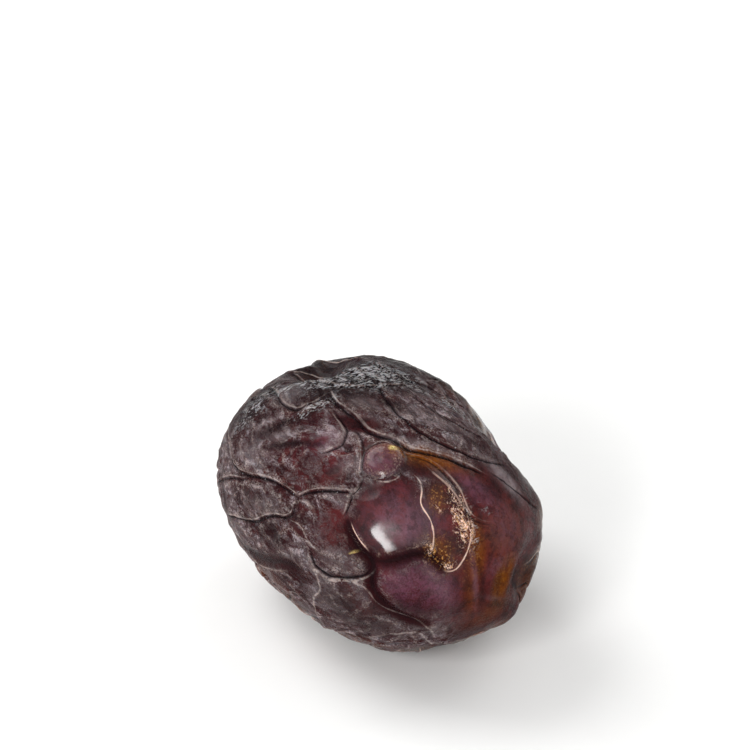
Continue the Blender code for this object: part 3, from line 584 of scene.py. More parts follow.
def lane_paths(rng):
    """Long folds that wander along the fruit, end to end in lanes round it."""
    for lane in range(LANES):
        turn = 2 * np.pi * (lane + rng.uniform(-LANE_SHIFT, LANE_SHIFT)) / LANES
        x = -LANE_REACH * HALF_LENGTH + rng.uniform(*LANE_START)
        while x < LANE_END * HALF_LENGTH:
            length = rng.uniform(*LANE_LENGTH)
            along = np.linspace(x, min(x + length, LANE_REACH * HALF_LENGTH), LANE_POINTS)
            sway = LANE_SWAY * np.sin(rng.uniform(0, 2 * np.pi) + along * rng.uniform(*SWAY_PACE))
            angle = turn + np.cumsum(rng.normal(0, LANE_WANDER, len(along))) + sway
            girth = np.sqrt(1 - (along / HALF_LENGTH) ** 2)
            across, rise = HALF_WIDTH * girth * np.cos(angle), HALF_HEIGHT * girth * np.sin(angle)
            path = smooth_path(on_form(np.stack([along, across, rise], 1)))
            section = FAR_SECTIONS[rng.integers(len(FAR_SECTIONS))]
            depth = rng.uniform(*LANE_DEPTH)
            yield section, depth, path[::-1] if rng.random() < 0.5 else path
            x += length * rng.uniform(*LANE_OVERLAP)


def branch_paths(rng):
    """Short bowed folds that cross between the long ones, at any place of the skin."""
    for _ in range(BRANCHES):
        start = on_form(rng.normal(size=3) * BRANCH_SPREAD)
        normal = form_normal(start)
        across = np.cross([1.0, 0, 0], normal)
        across /= np.linalg.norm(across)
        way = across + rng.uniform(-BRANCH_SLANT, BRANCH_SLANT) * np.cross(normal, across)
        t = np.linspace(-0.5, 0.5, BRANCH_POINTS)[:, None]
        bow = rng.normal(0, BRANCH_BOW) * (4 * t**2 - 1)
        points = start + rng.uniform(*BRANCH_LENGTH) * way * t + bow * np.cross(normal, way)
        section = BRANCH_SECTIONS[rng.integers(len(BRANCH_SECTIONS))]
        yield section, rng.uniform(*BRANCH_DEPTH), smooth_path(on_form(points))


def runs_along(path, folds):
    """Whether the path keeps too close to one of the folds for too long, which would knot the two."""
    for _, _, other in folds:
        gaps = np.linalg.norm(path[:, None] - other, axis=2).min(1)
        if (gaps < CLOSEST_FOLDS).sum() * PATH_STEP > LONGEST_OVERLAP:
            return True
    return False


def far_folds():
    """The seeded folds, each cut to its longest stretch that the near view doesn't show."""
    rng = np.random.default_rng(SEED)
    folds = []
    for section, depth, path in [*lane_paths(rng), *branch_paths(rng)]:
        start, stop = longest_run(facing(path) < MOST_SEEN)
        if stop - start >= SHORTEST_RUN and not runs_along(path[start:stop], folds):
            depth = depth * RIDGE_SHARE if section == "ridge" else depth
            folds.append((section, depth, path[start:stop]))
    return folds


def near_folds():
    """The folds listed above, laid on the plump form."""
    return [(section, depth, smooth_path(seen_at(places))) for section, depth, places in FOLDS.values()]


def crowded(points, folds):
    """The points drawn sideways towards the folds, so that the mesh is finest in them."""
    move = np.zeros_like(points)
    for section, _, path in folds:
        width = 0.5 + sum(SECTIONS[section][:2]) / 2
        near, side, share, left = beside(path, points, 3 * width)
        fade = faded_ends(share, path_length(path), CROWDING_FADE)
        move[near] -= (CROWDING * side * np.exp(-((side / width) ** 2)) * fade)[:, None] * left
    return on_form(points + move)


def fold_height(points, folds):
    """The heights of all the folds' sections, added up."""
    height = np.zeros(len(points))
    for section, depth, path in folds:
        wall_left, wall_right, _, _, reach, _ = SECTIONS[section]
        near, side, share, _ = beside(path, points, max(2.5 * reach, 6 * wall_left, 6 * wall_right))
        length = path_length(path)
        fade = faded_ends(share, length, min(LONGEST_FADE, FADE_SHARE * length))
        height[near] += fade * fold_section(side, depth, section)
    return height


def bump(points, centre, way, long_radius, short_radius, size, squareness):
    """One swell or hollow: its height halves at the radius, 2^-(distance / radius)^squareness."""
    normal = form_normal(centre)
    way = way - way @ normal * normal
    way /= np.linalg.norm(way)
    away = points - centre
    inwards = away @ normal / (INWARD_SHARE * (long_radius + short_radius))
    along, across = away @ way / long_radius, away @ np.cross(normal, way) / short_radius
    return size * 2.0 ** -((along**2 + across**2 + inwards**2) ** (squareness / 2))


def seen_bump(points, across, rise, long_radius, short_radius, turn, size, squareness):
    """A swell, hollow or patch of the near side, listed by its place and turn in the plane of the view."""
    right, up, _ = view_axes()
    way = np.cos(np.radians(turn)) * right + np.sin(np.radians(turn)) * up
    return bump(points, seen_at([(across, rise)])[0], way, long_radius, short_radius, size, squareness)


def bump_height(points):
    """The listed swells and hollows of the near side, and seeded ones where the near view doesn't reach."""
    height = sum(seen_bump(points, *swell) for swell in BUMPS.values())
    rng = np.random.default_rng(SEED + 1)
    for _ in range(FAR_SWELLS):
        centre = on_form(rng.normal(size=3) * SWELL_SPREAD)
        way = np.array([1.0, *rng.uniform(-SWELL_SLANT, SWELL_SLANT, 2)])
        long_radius, short_radius = rng.uniform(*SWELL_LENGTH), rng.uniform(*SWELL_WIDTH)
        size = rng.uniform(*SWELL_HEIGHT)
        if facing(centre) < -long_radius / HALF_LENGTH:
            height += bump(points, centre, way, long_radius, short_radius, size, SWELL_EDGE)
    return height


def round_stem(points):
    """Distance from the line through both poles, and angle round it."""
    return np.hypot(points[:, 1], points[:, 2]), np.arctan2(points[:, 2], points[:, 1])


def scar_fibres(points):
    """Fibres that run out from the middle of the scar, -1 to 1: sines of the angle, swayed by the radius."""
    radius, angle = round_stem(points)
    fibres = np.sin(FIBRES * angle + FIBRE_SWAY * np.sin(FIBRE_SWAYS * angle) + FIBRE_TWIST * radius)
    breaks = 1 - FIBRE_BREAK + FIBRE_BREAK * np.sin(7 * angle + 5 * radius)
    return fibres * np.clip(radius / PLUG_RADIUS, 0, 1) * breaks


def scar_height(points):
    """The cup at the stem end with fibres and a plug in it, and the ring round it, whose height waves."""
    radius, angle = round_stem(points)
    cup = -SCAR_DEPTH * np.exp(-((radius / SCAR_RADIUS) ** 4))
    waves = 1 + RING_HEIGHT * np.sin(RING_PUCKERS * angle + 1)
    ring = RING_HEIGHT * np.exp(-(((radius - RING_RADIUS) / RING_WIDTH) ** 2)) * waves
    plug = PLUG_HEIGHT * np.exp(-((radius / PLUG_RADIUS) ** 4))
    fibres = FIBRE_HEIGHT * scar_fibres(points) * np.exp(-((radius / SCAR_RADIUS) ** 8))
    return np.where(points[:, 0] < 0, cup + ring + plug + fibres, 0.0)


def calmed(points):
    """0 over the flat spot, so that no fold runs through it, eased to 1 at the calm height above it."""
    rise = np.clip((points[:, 2] + HALF_HEIGHT - FLAT_SINK) / FLAT_CALM, 0, 1)
    return rise * rise * (3 - 2 * rise)


def rested(points):
    """The body on its flat spot: heights under the spot's plane are cut to it, eased in by a parabola."""
    rise = points[:, 2] + HALF_HEIGHT - FLAT_SINK
    eased = np.clip(rise + FLAT_EASE, 0, None) ** 2 / (4 * FLAT_EASE)
    height = np.where(rise < FLAT_EASE, eased, rise)
    return np.stack([points[:, 0] - MIDDLE_X, points[:, 1] - MIDDLE_Y, height], 1)


def noise(points, seed):
    """Smooth seeded noise, about -1 to 1, one cell a unit.

    Each corner of a point's cell has a random slope. The value is the slopes' heights at the point, blended
    by 6 t^5 - 15 t^4 + 10 t^3 along each axis.
    """
    rng = np.random.default_rng(seed)
    slopes = rng.normal(size=(256, 3))
    slopes /= np.linalg.norm(slopes, axis=1, keepdims=True)
    order = rng.permutation(256)
    cell = np.floor(points).astype(int)
    inside = points - cell
    blend = inside**3 * (inside * (6 * inside - 15) + 10)
    total = np.zeros(len(points))
    for corner in np.ndindex(2, 2, 2):
        key = cell + corner
        key = order[(order[(order[key[:, 0] & 255] + key[:, 1]) & 255] + key[:, 2]) & 255]
        weight = np.where(corner, blend, 1 - blend).prod(1)
        total += weight * (slopes[key] * (inside - corner)).sum(1)
    return 1.6 * total


def wrinkle_height(points):
    """Sharp-crested wrinkles, 1 - |noise|, in two sizes, drawn out lengthwise and bent by slower noise."""
    bend = np.stack([noise(points / BEND_CELL, BEND_SEED + axis) for axis in range(3)], 1)
    away = np.clip((FAR_FROM - facing(points)) / FAR_FROM, 0, 1)
    away = away * away * (3 - 2 * away)
    height = np.zeros(len(points))
    for cell, bent, (near, far), seed in (
        (COARSE_CELL, COARSE_BEND, COARSE_HEIGHT, COARSE_SEED),
        (FINE_CELL, FINE_BEND, FINE_HEIGHT, FINE_SEED),
    ):
        crests = 1 - CREST_SHARPNESS * np.abs(noise(points / cell + bent * bend, seed))
        height += (near + (far - near) * away) * (crests - CREST_MIDDLE)
    return height


def ring_points():
    """Points all round the plump form: even steps on its outline from pole to pole, and round each ring."""
    along = np.linspace(0, np.pi, OUTLINE_STEPS)
    outline = on_form(np.stack([np.cos(along), np.sin(along), 0 * along], 1))
    run = np.r_[0, np.cumsum(np.linalg.norm(np.diff(outline, axis=0), axis=1))]
    along = np.interp(np.linspace(0, run[-1], RINGS + 2)[1:-1], run, along)[:, None]
    turn = np.linspace(0, 2 * np.pi, ROUND, endpoint=False)
    across, rise = np.sin(along) * np.cos(turn), np.sin(along) * np.sin(turn)
    ways = np.stack(np.broadcast_arrays(np.cos(along), across, rise), -1)
    return np.vstack([[1.0, 0, 0], ways.reshape(-1, 3), [-1.0, 0, 0]])


def ring_faces():
    """Quads between the rings and a fan of triangles at each pole, all facing out."""
    ring = 1 + ROUND * np.arange(RINGS - 1)[:, None]
    here = np.arange(ROUND)
    after = (here + 1) % ROUND
    quads = np.stack([ring + here, ring + ROUND + here, ring + ROUND + after, ring + after], -1)
    last = 1 + ROUND * (RINGS - 1)
    first_fan = np.stack([1 + here, 1 + after, 0 * here], 1)
    last_fan = np.stack([last + after, last + here, 0 * here + 1 + ROUND * RINGS], 1)
    return quads.reshape(-1, 4), first_fan, last_fan


def fold_lines(points, folds):
    """How far each point is beside the nearest fold's bottom and beside the nearest crest, and how strongly.

    A line is drawn in the material where such a distance passes 0. The strength falls from 1 on the line to
    0 at LINE_REACH, so that neighbouring folds don't mix. Wide valleys have no line: their marks fall as a
    bell curve. Soft folds have neither.
    """
    away = {kind: np.full(len(points), LINE_REACH) for kind in ("crease", "crest")}
    gain = {kind: np.zeros(len(points)) for kind in ("crease", "crest", "valley")}
    for section, depth, path in folds:
        near, side, share, _ = beside(path, points, 2 * VALLEY_REACH)
        length = path_length(path)
        strength = faded_ends(share, length, min(LINE_FADE, LINE_FADE_SHARE * length))
        if section == "valley":
            fall = strength * np.exp(-((side / VALLEY_REACH) ** 2))
            gain["valley"][near] = np.maximum(gain["valley"][near], fall)
        if section in ("valley", "soft"):
            continue
        strength = strength * np.clip(abs(depth) / FULL_LINE_DEPTH, FAINTEST_LINE, 1)
        lines = [("crest", side, strength)]
        if depth > 0:
            rim = 2 * SECTIONS[section][2] * strength
            lines = [("crease", side, strength), ("crest", side - CREST_STEP, rim)]
        for kind, beyond, shown in lines:
            nearer = np.abs(beyond) < np.abs(away[kind][near])
            rows = near[nearer]
            away[kind][rows] = beyond[nearer]
            gain[kind][rows] = np.minimum(shown, 1)[nearer] * (1 - np.abs(beyond[nearer]) / LINE_REACH)
    return gain | {kind + "_away": distance for kind, distance in away.items()}


def hollowness(skin, steps):
    """How far each point lies under the mean of its neighbours, taken again and again for a wider reach."""
    mean = skin
    for _ in range(steps):
        rings = np.concatenate([mean[:1], mean, mean[-1:]])
        mean = (np.roll(mean, 1, 1) + np.roll(mean, -1, 1) + rings[:-2] + rings[2:]) / 4
    return mean - skin


def patch_marks(points):
    """Each kind of patch: the near side's by the list, and beyond it seeded, from noise."""
    away = np.clip((SPREAD_FROM - facing(points)) / SPREAD_EASE, 0, 1)
    end = np.clip(0.5 + points[:, 0] / HALF_LENGTH, 0, LARGEST_LEAN)
    marks = {}
    for kind, patches in PATCHES.items():
        marks[kind] = np.max([seen_bump(points, *patch) for patch in patches.values()], axis=0)
    for kind, (cell, amount, seed) in SPREAD.items():
        drift = noise(points / [SPREAD_STRETCH * cell, cell, cell], seed)
        lean = SPREAD_LEAN * (end if kind in LEANING else EVEN_SHARE)
        mark = amount * np.clip(SPREAD_GAIN * (drift + lean - SPREAD_START), 0, 1)
        marks[kind] = np.clip(np.maximum(marks[kind], away * mark), 0, 1)
    return marks


def dressed_skin():
    """The finished skin's points in metres on the rings, and the marks that its material reads."""
    folds = near_folds() + far_folds()
    form = crowded(ring_points(), folds)
    marks = patch_marks(form) | fold_lines(form, folds)
    marks["bare"] = np.maximum(marks["bare"], 0.95 * marks["valley"])
    height = bump_height(form) + fold_height(form, folds) + scar_height(form)
    height += wrinkle_height(form) * (1 - marks["bare"])
    height *= calmed(form)
    skin = rested(form + height[:, None] * form_normal(form))
    rings = skin[1:-1].reshape(RINGS, ROUND, 3)
    outward = form_normal(form[1:-1]).reshape(RINGS, ROUND, 3)
    for name, (steps, full) in HOLLOWS.items():
        depth = (hollowness(rings, steps) * outward).sum(2).ravel() / full
        marks[name] = np.r_[0, np.clip(depth, -1, 1), 0]
    scar = np.exp(-((round_stem(form)[0] / SCAR_MARK) ** SCAR_EDGE))
    marks["scar"] = np.where(form[:, 0] < 0, scar, 0)
    marks["fibre"] = marks["scar"] * np.clip(0.5 + 0.5 * scar_fibres(form), 0, 1)
    return skin * MM, marks


class Tree:
    """A material's nodes, added one at a time with their inputs named."""

    def __init__(self, name):
        self.material = bpy.data.materials.new(name)
        self.material.use_nodes = True
        self.tree = self.material.node_tree
        self.shader = self.tree.nodes["Principled BSDF"].inputs
        self.place = self.add("TexCoord", {}).outputs["Object"]

    def add(self, kind, inputs, **settings):
        """A node of that kind. An input that is another node's output is joined, any other value is set."""
        node = self.tree.nodes.new("ShaderNode" + kind)
        for name, value in settings.items():
            setattr(node, name, value)
        for name, value in inputs.items():
            self.put(node.inputs[name], value)
        return node

    def put(self, socket, value):
        """A socket joined to another node's output, or set. A colour comes with or without its alpha."""
        if isinstance(value, bpy.types.NodeSocket):
            self.tree.links.new(value, socket)
        elif socket.type == "RGBA":
            socket.default_value = (*value[:3], 1)
        else:
            socket.default_value = value

    def mark(self, name):
        """A mark of the skin, by its attribute's name."""
        return self.add("Attribute", {}, attribute_name=name).outputs["Fac"]

    def stretched(self, share):
        """Places drawn together by a share along the fruit, so that a pattern on them is stretched."""
        return self.add("Mapping", {"Vector": self.place, "Scale": (share, 1, 1)}).outputs["Vector"]

    def brushed(self, way, stretch):
        """Places turned and drawn together, so that a pattern on them is stretched along the way."""
        turn = Vector((1, 0, 0)).rotation_difference(Vector(way)).to_euler()
        inputs = {"Vector": self.place, "Rotation": turn, "Scale": (stretch, 1, 1)}
        return self.add("Mapping", inputs, vector_type="TEXTURE").outputs["Vector"]

    def noise(self, cell, detail=3.0, roughness=0.7, distortion=0.0, place=None):
        """Noise from 0 to 1, its cells that many millimetres across."""
        inputs = {"Vector": place or self.place, "Scale": 1 / (cell * MM), "Detail": detail}
        inputs |= {"Roughness": roughness, "Distortion": distortion}
        return self.add("TexNoise", inputs).outputs["Fac"]

    def grains(self, cell, feature="F1", output="Distance"):
        """Cells that many millimetres across: the distance to their middles, or a random colour in each."""
        inputs = {"Vector": self.place, "Scale": 1 / (cell * MM)}
        return self.add("TexVoronoi", inputs, feature=feature).outputs[output]

    def step(self, value, low, high, start=0.0, end=1.0):
        """Eased from start to end as the value goes from low to high."""
        inputs = {"Value": value, "From Min": low, "From Max": high, "To Min": start, "To Max": end}
        return self.add("MapRange", inputs, interpolation_type="SMOOTHSTEP").outputs["Result"]

    def work(self, operation, *values):
        """One operation of arithmetic on its values."""
        node = self.add("Math", {}, operation=operation)
        for socket, value in zip(node.inputs, values):
            self.put(socket, value)
        return node.outputs["Value"]

    def plus(self, *values):
        """All the values added up."""
        return reduce(partial(self.work, "ADD"), values)

    def less(self, *values):
        """The first value less all the others."""
        return reduce(partial(self.work, "SUBTRACT"), values)

    def times(self, *values):
        """All the values multiplied."""
        return reduce(partial(self.work, "MULTIPLY"), values)

    def most(self, *values):
        """The largest of the values."""
        return reduce(partial(self.work, "MAXIMUM"), values)

    def mixed(self, *parts):
        """Values added up, each times its share."""
        return self.plus(*[self.times(value, share) for value, share in parts])

    def over(self, under, colour, share):
        """A colour laid over another by its share."""
        node = self.add("Mix", {}, data_type="RGBA")
        for name, value in (("Factor", share), ("A", under), ("B", colour)):
            self.put(node.inputs[name], value)
        return node.outputs["Result"]


class SkinTree(Tree):
    """The skin's layers, painted from the flesh under bare skin up to the flecks."""

    def __init__(self, name, settings):
        super().__init__(name)
        self.settings = settings
        self.marks = {kind: self.mark(kind) for kind in (*PATCHES, *HOLLOWS, "crease", "crest", "valley")}
        self.mottle = self.noise(1.5, detail=4.0, roughness=0.65, distortion=0.4)
        self.patchy = self.noise(3.2, roughness=0.6, distortion=0.8, place=self.stretched(0.6))
        self.streaks = self.noise(0.7, detail=4.0, distortion=0.6, place=self.stretched(0.45))
        self.fine = self.noise(0.18)
        self.clear = self.step(self.marks["wet"], 0.15, 0.5)

    def paint(self, colour, share):
        """Lays a colour over the skin's by its share."""
        self.colour = self.over(self.colour, colour, share)

    def line(self, kind, width, swing):
        """A thin line along the folds' creases or crests, at most half as wide again where swing is high."""
        away = self.work("ABSOLUTE", self.mark(kind + "_away"))
        away = self.work("DIVIDE", away, self.step(swing, 0.35, 0.65, 0.5, 1.5))
        return self.times(self.marks[kind], self.step(away, 0.3 * width, width, 1.0, 0.0))

    def paint_flesh(self):
        """Maroon skin, with its red, purple and amber patches."""
        settings, marks, mottle = self.settings, self.marks, self.mottle
        self.colour = self.over(settings.deep_skin, settings.warm_skin, self.step(mottle, 0.35, 0.7))
        self.paint(settings.red_skin, self.times(marks["red"], self.step(mottle, 0.38, 0.60, 0.2, 1.0)))
        taut = self.step(self.mixed((self.streaks, 0.6), (self.fine, 0.4)), 0.42, 0.58, 0.2, 1.0)
        self.paint(settings.purple_skin, self.times(marks["purple"], taut))
        self.paint(settings.amber_skin, self.times(marks["amber"], self.step(mottle, 0.28, 0.6, 0.45, 1.0)))

    def paint_film(self):
        """Bloom where the skin isn't bare, chalk where it is thick, and an even pale film that paints soft
        sheen.
        """
        settings, marks, streaks = self.settings, self.marks, self.streaks
        ragged = self.plus(marks["bare"], self.times(self.less(streaks, 0.5), 1.2))
        # The film is cleared under the dark patches, which are partly the skin's own dark colour and partly
        # painted shade
        dark_patch = self.times(marks["dark"], self.step(self.mottle, 0.3, 0.6, 1.0, 0.85))
        self.cover = self.times(self.step(ragged, 0.25, 0.75, 1.0, 0.02), self.less(1.0, dark_patch))
        mixed = self.mixed((self.patchy, 0.50), (streaks, 0.34), (self.fine, 0.16))
        self.bloom = self.times(self.cover, self.step(mixed, 0.46, 0.55, 0.05, 1.0), settings.bloom)
        tint = self.over(settings.bloom_warm, settings.bloom_cool, self.step(self.mottle, 0.4, 0.6))
        self.paint(tint, self.bloom)
        thick = self.step(self.mixed((streaks, 0.65), (self.fine, 0.35), (marks["pale"], 0.06)), 0.52, 0.60)
        self.paint(settings.chalk, self.times(self.cover, self.bloom, thick, 0.75))
        # Painted sheen: an even pale film, greyer or more purple, that stands in for soft reflections
        taut = self.step(self.plus(marks["purple"], self.times(marks["red"], 0.6)), 0.2, 0.7)
        film = self.over(settings.grey_sheen, settings.purple_sheen, taut)
        # Under the pale patches the painted sheen is chalkier and brighter: partly thick bloom, partly painted
        # highlight
        film = self.over(film, settings.chalk, self.times(marks["pale"], 0.8))
        sheer = self.times(marks["painted_sheen"], self.step(streaks, 0.3, 0.7, 0.55, 0.9))
        spread = self.most(self.step(self.cover, 0.2, 0.8, 0.5, 0.85), marks["pale"])
        self.paint(film, self.times(sheer, spread))

    def paint_shade(self):
        """Blotches in the bare skin, deep valleys painted darkest, painted shade in the hollows, and the dark
        patches.
        """
        settings, marks = self.settings, self.marks
        blotch = self.step(self.noise(0.8, detail=5.0), 0.50, 0.62, 0.0, 0.5)
        self.paint(settings.deep_skin, self.times(marks["bare"], blotch))
        # Deep valleys are painted near black: partly the skin's dark colour there, partly painted shade
        self.paint(settings.deep_skin, self.times(marks["valley"], 0.95))
        # Painted shade: the darkest colour laid over narrow and wide hollows, less under the pale patches, and
        # over the dark patches
        wide = self.step(marks["broad_hollow"], 0.2, 0.9, 0.0, 0.6)
        wide = self.times(wide, self.step(marks["pale"], 0.0, 0.6, 1.0, 0.0))
        narrow = self.step(marks["hollow"], 0.3, 1.0, 0.0, 0.4)
        self.paint(settings.shade_and_crease_skin, self.most(narrow, wide, self.times(marks["dark"], 0.92)))

    def paint_lines(self):
        """Pale rims on the crests and on crumpled skin, which are painted highlights, pale threads of film,
        and dark lines down the creases, partly the skin's dark colour and partly painted shade.
        """
        settings, cover, clear = self.settings, self.cover, self.clear
        self.crease = self.line("crease", 0.14, self.mottle)
        bare = self.step(self.less(self.marks["bare"], clear), 0.3, 1.0, 1.0, 0.25)
        self.crest = self.times(self.line("crest", 0.12, self.patchy), bare)
        thread = self.step(self.work("ABSOLUTE", self.less(self.streaks, 0.5)), 0.0, 0.022, 1.0, 0.0)
        self.threads = self.times(thread, self.step(self.patchy, 0.4, 0.6, 0.2, 1.0))
        # Raised, crumpled skin takes the pale rim colour: a painted highlight
        crumpled = self.step(self.times(self.marks["hollow"], -1.0), 0.3, 1.0, 0.0, 0.45)
        crumpled = self.times(crumpled, cover, self.step(self.fine, 0.4, 0.6))
        rim = self.most(self.crest, crumpled, self.times(self.threads, cover, 0.4))
        broken = self.step(self.plus(self.streaks, self.times(clear, 0.3)), 0.35, 0.6, 0.2, 1.0)
        self.rim = self.times(rim, broken, 0.9)
        # Painted highlight: pale rims along the crests and on raised skin, brightest where the skin is wet;
        # the threads in them are the film's own
        self.paint(self.over(settings.dry_rim_and_highlight, settings.bare_rim_highlight, clear), self.rim)
        # Dark crease lines: partly the skin's dark colour in the creases, partly painted shade
        self.paint(settings.shade_and_crease_skin, self.times(self.crease, 0.95))

    def strokes(self, way, stretch, cell, roughness, distortion, jitter, low, high):
        """Fine strokes brushed along a way, and denser where the flecks are."""
        strokes = self.noise(cell, 4.0, roughness, distortion, self.brushed(way, stretch))
        strokes = self.plus(strokes, self.times(self.less(self.streaks, 0.5), jitter))
        return self.step(self.plus(strokes, self.times(self.marks["flecks"], 0.13)), low, high)

    def paint_specks(self):
        """Dry flecks on the film, glitter on wet skin painted as bright highlights, dots beside the creases,
        gold glints painted where the amber skin is wet, and sugar.
        """
        settings, marks, clear = self.settings, self.marks, self.clear
        right, up, _ = view_axes()
        dry = self.strokes(0.87 * right + 0.5 * up, 2.6, 0.24, 0.7, 0.5, 0.5, 0.575, 0.64)
        glitter = self.strokes(0.4 * right - 0.92 * up, 1.8, 0.17, 0.75, 0.8, 0.6, 0.60, 0.68)
        dots = self.times(
            self.step(self.grains(0.45), 0.10, 0.22, 1.0, 0.0),
            self.step(self.grains(0.45, output="Color"), 0.55, 0.70),
            self.step(self.plus(marks["crease"], self.times(marks["flecks"], 0.5)), 0.05, 0.6, 0.12, 0.9),
        )
        # On wet skin the strokes are painted glitter highlights; on the film they are dry flecks
        speck = self.plus(self.times(dry, self.less(1.0, clear)), self.times(glitter, clear))
        speck = self.times(speck, self.step(marks["flecks"], 0.0, 0.5))
        self.speck = self.times(self.most(speck, self.times(dots, self.cover)), 0.9)
        glitter_highlight = self.over(settings.gold_speck_and_glint, settings.bare_rim_highlight, self.step(self.fine, 0.40, 0.52))
        self.paint(self.over(settings.fleck, glitter_highlight, clear), self.speck)
        # Painted glints: gold specks in the amber skin, brightest where the skin is wet
        glints = self.step(self.noise(0.28), 0.54, 0.64)
        self.glints = self.times(marks["amber"], glints, self.step(marks["wet"], 0.0, 0.6, 0.15, 1.0))
        self.paint(settings.gold_speck_and_glint, self.times(self.glints, 0.8))
        self.sugar = self.times(marks["sugar"], self.step(self.fine, 0.35, 0.55, 0.35, 1.0))
        self.paint(settings.sugar, self.sugar)

    def paint_scar(self):
        """The stem scar and its dry fibres."""
        self.paint(self.settings.warm_skin, self.mark("scar"))
        fibre = self.times(self.mark("fibre"), self.step(self.fine, 0.35, 0.6, 0.4, 1.0))
        self.paint(self.settings.scar_skin, fibre)

    def roughness(self):
        """Smooth where the skin is bare, rougher under bloom, specks and rims."""
        least = self.settings.bare_roughness
        dull = self.most(self.bloom, self.speck, self.times(self.rim, 0.6))
        rough = self.step(self.fine, 0.2, 0.8, least - 0.04, least + 0.10)
        return self.plus(rough, self.times(dull, self.settings.bloom_roughness))

    def relief(self):
        """Fine relief in millimetres: leathery grain under the film, with rims, specks and creases."""
        covered = self.less(1.0, self.times(self.marks["bare"], 0.75))
        grain = self.mixed((self.fine, 0.15), (self.grains(0.55, feature="SMOOTH_F1"), 0.10))
        height = self.plus(
            self.times(grain, covered),
            self.times(self.streaks, self.clear, 0.06),
            self.times(self.streaks, 0.35, covered),
            self.times(self.threads, 0.03),
            self.times(self.most(self.speck, self.glints), 0.04),
            self.times(self.crest, 0.05),
            self.times(self.sugar, 0.15),
        )
        return self.less(height, self.times(self.crease, 0.10))


def skin_material(settings):
    """Thin dark skin: glossy where it is bare, dull under its bloom, and let through by light at the ends."""
    tree = SkinTree("wrinkled_date_skin", settings)
    tree.paint_flesh()
    tree.paint_film()
    tree.paint_shade()
    tree.paint_lines()
    tree.paint_specks()
    tree.paint_scar()
    bump_node = tree.add("Bump", {"Height": tree.relief(), "Strength": 1.0, "Distance": MM})
    wet = tree.times(tree.marks["wet"], tree.step(tree.marks["valley"], 0.1, 0.6, 1.0, 0.0))
    for name, value in {
        "Base Color": tree.colour,
        "Roughness": tree.roughness(),
        "Normal": bump_node.outputs["Normal"],
        "Subsurface Weight": 0.15,
        "Subsurface Radius": (1.0, 0.3, 0.15),
        "Subsurface Scale": 1.2 * MM,
        "Specular IOR Level": 0.02,
        "Coat Roughness": 0.12,
        "Coat Weight": tree.times(wet, settings.gloss),
    }.items():
        tree.put(tree.shader[name], value)
    return tree.material


def floor_material(settings):
    """Smooth matt board."""
    tree = Tree("pale_board")
    low = [0.985 * part for part in settings.floor]
    tree.put(tree.shader["Base Color"], tree.over(low, settings.floor, tree.noise(3.0, 2.0, 0.55)))
    tree.put(tree.shader["Roughness"], 0.55)
    return tree.material


def number_value(name, description, default, least=0, most=1e6, **more):
    """A number that a user can change."""
    return bpy.props.FloatProperty(
        name=name, description=description, default=default, min=least, max=most, **more
    )


def colour_value(name, description, red, green, blue):
    """A colour that a user can change."""
    return bpy.props.FloatVectorProperty(
        name=name, description=description, subtype="COLOR", size=3, min=0, max=1, default=(red, green, blue)
    )


class DateSkinSettings(bpy.types.PropertyGroup):
    """Sizes and colours of the skin."""

    deep_skin: colour_value("Deep skin", "Darkest maroon of the skin", 0.018, 0.004, 0.005)
    warm_skin: colour_value("Warm skin", "Warmer maroon of the skin", 0.045, 0.009, 0.010)
    red_skin: colour_value("Red skin", "Where light comes through thin skin", 0.120, 0.014, 0.014)
    purple_skin: colour_value("Purple skin", "Taut skin on the swells", 0.098, 0.028, 0.047)
    amber_skin: colour_value("Amber skin", "Clear skin over pale flesh", 0.150, 0.040, 0.002)
    # Gold of sugar under clear skin, also the colour of the painted glints and glitter highlights
    gold_speck_and_glint: colour_value("Gold skin", "Sugar seen through clear skin", 0.620, 0.290, 0.080)
    # The darkest colour: dark crease lines, painted shade in the hollows, and the dark patches
    shade_and_crease_skin: colour_value("Creases", "Bottoms of the folds", 0.006, 0.003, 0.004)
    # Pale rim colour: painted highlights on the dry crests and raised skin, and the film's pale threads
    dry_rim_and_highlight: colour_value("Rims", "Dry edges of the folds", 0.480, 0.400, 0.370)
    # Rim colour where the skin is wet: painted highlights, and the colour of the painted glitter
    bare_rim_highlight: colour_value("Bare rims", "Edges of the folds where the skin is bare", 1.0, 0.700, 0.570)
    bloom_warm: colour_value("Warm bloom", "Dull film on the skin, its warm part", 0.088, 0.050, 0.054)
    bloom_cool: colour_value("Cool bloom", "Dull film on the skin, its cool part", 0.076, 0.058, 0.064)
    # Colours of the painted sheen on the plates and on taut skin
    grey_sheen: colour_value("Even film", "Smooth film on the plates", 0.135, 0.102, 0.103)
    purple_sheen: colour_value("Purple film", "Smooth film on taut skin", 0.220, 0.108, 0.150)
    chalk: colour_value("Thick bloom", "Where the film is thickest", 0.360, 0.300, 0.315)
    sugar: colour_value("Sugar", "Dried sugar in the gaps", 0.850, 0.640, 0.240)
    fleck: colour_value("Flecks", "Dry specks on the skin", 0.390, 0.380, 0.390)
    scar_skin: colour_value("Stem scar", "Dry fibres in the stem scar", 0.190, 0.115, 0.075)
    bloom: number_value("Bloom", "How much of the dull film covers the skin", 0.9, most=1)
    gloss: number_value("Gloss", "Gloss of the wet patches", 1.0, most=1)
    bare_roughness: number_value("Bare roughness", "Roughness of bare skin", 0.22, 0.05, 1)
    bloom_roughness: number_value("Bloom roughness", "Roughness that the film adds", 0.45, most=1)


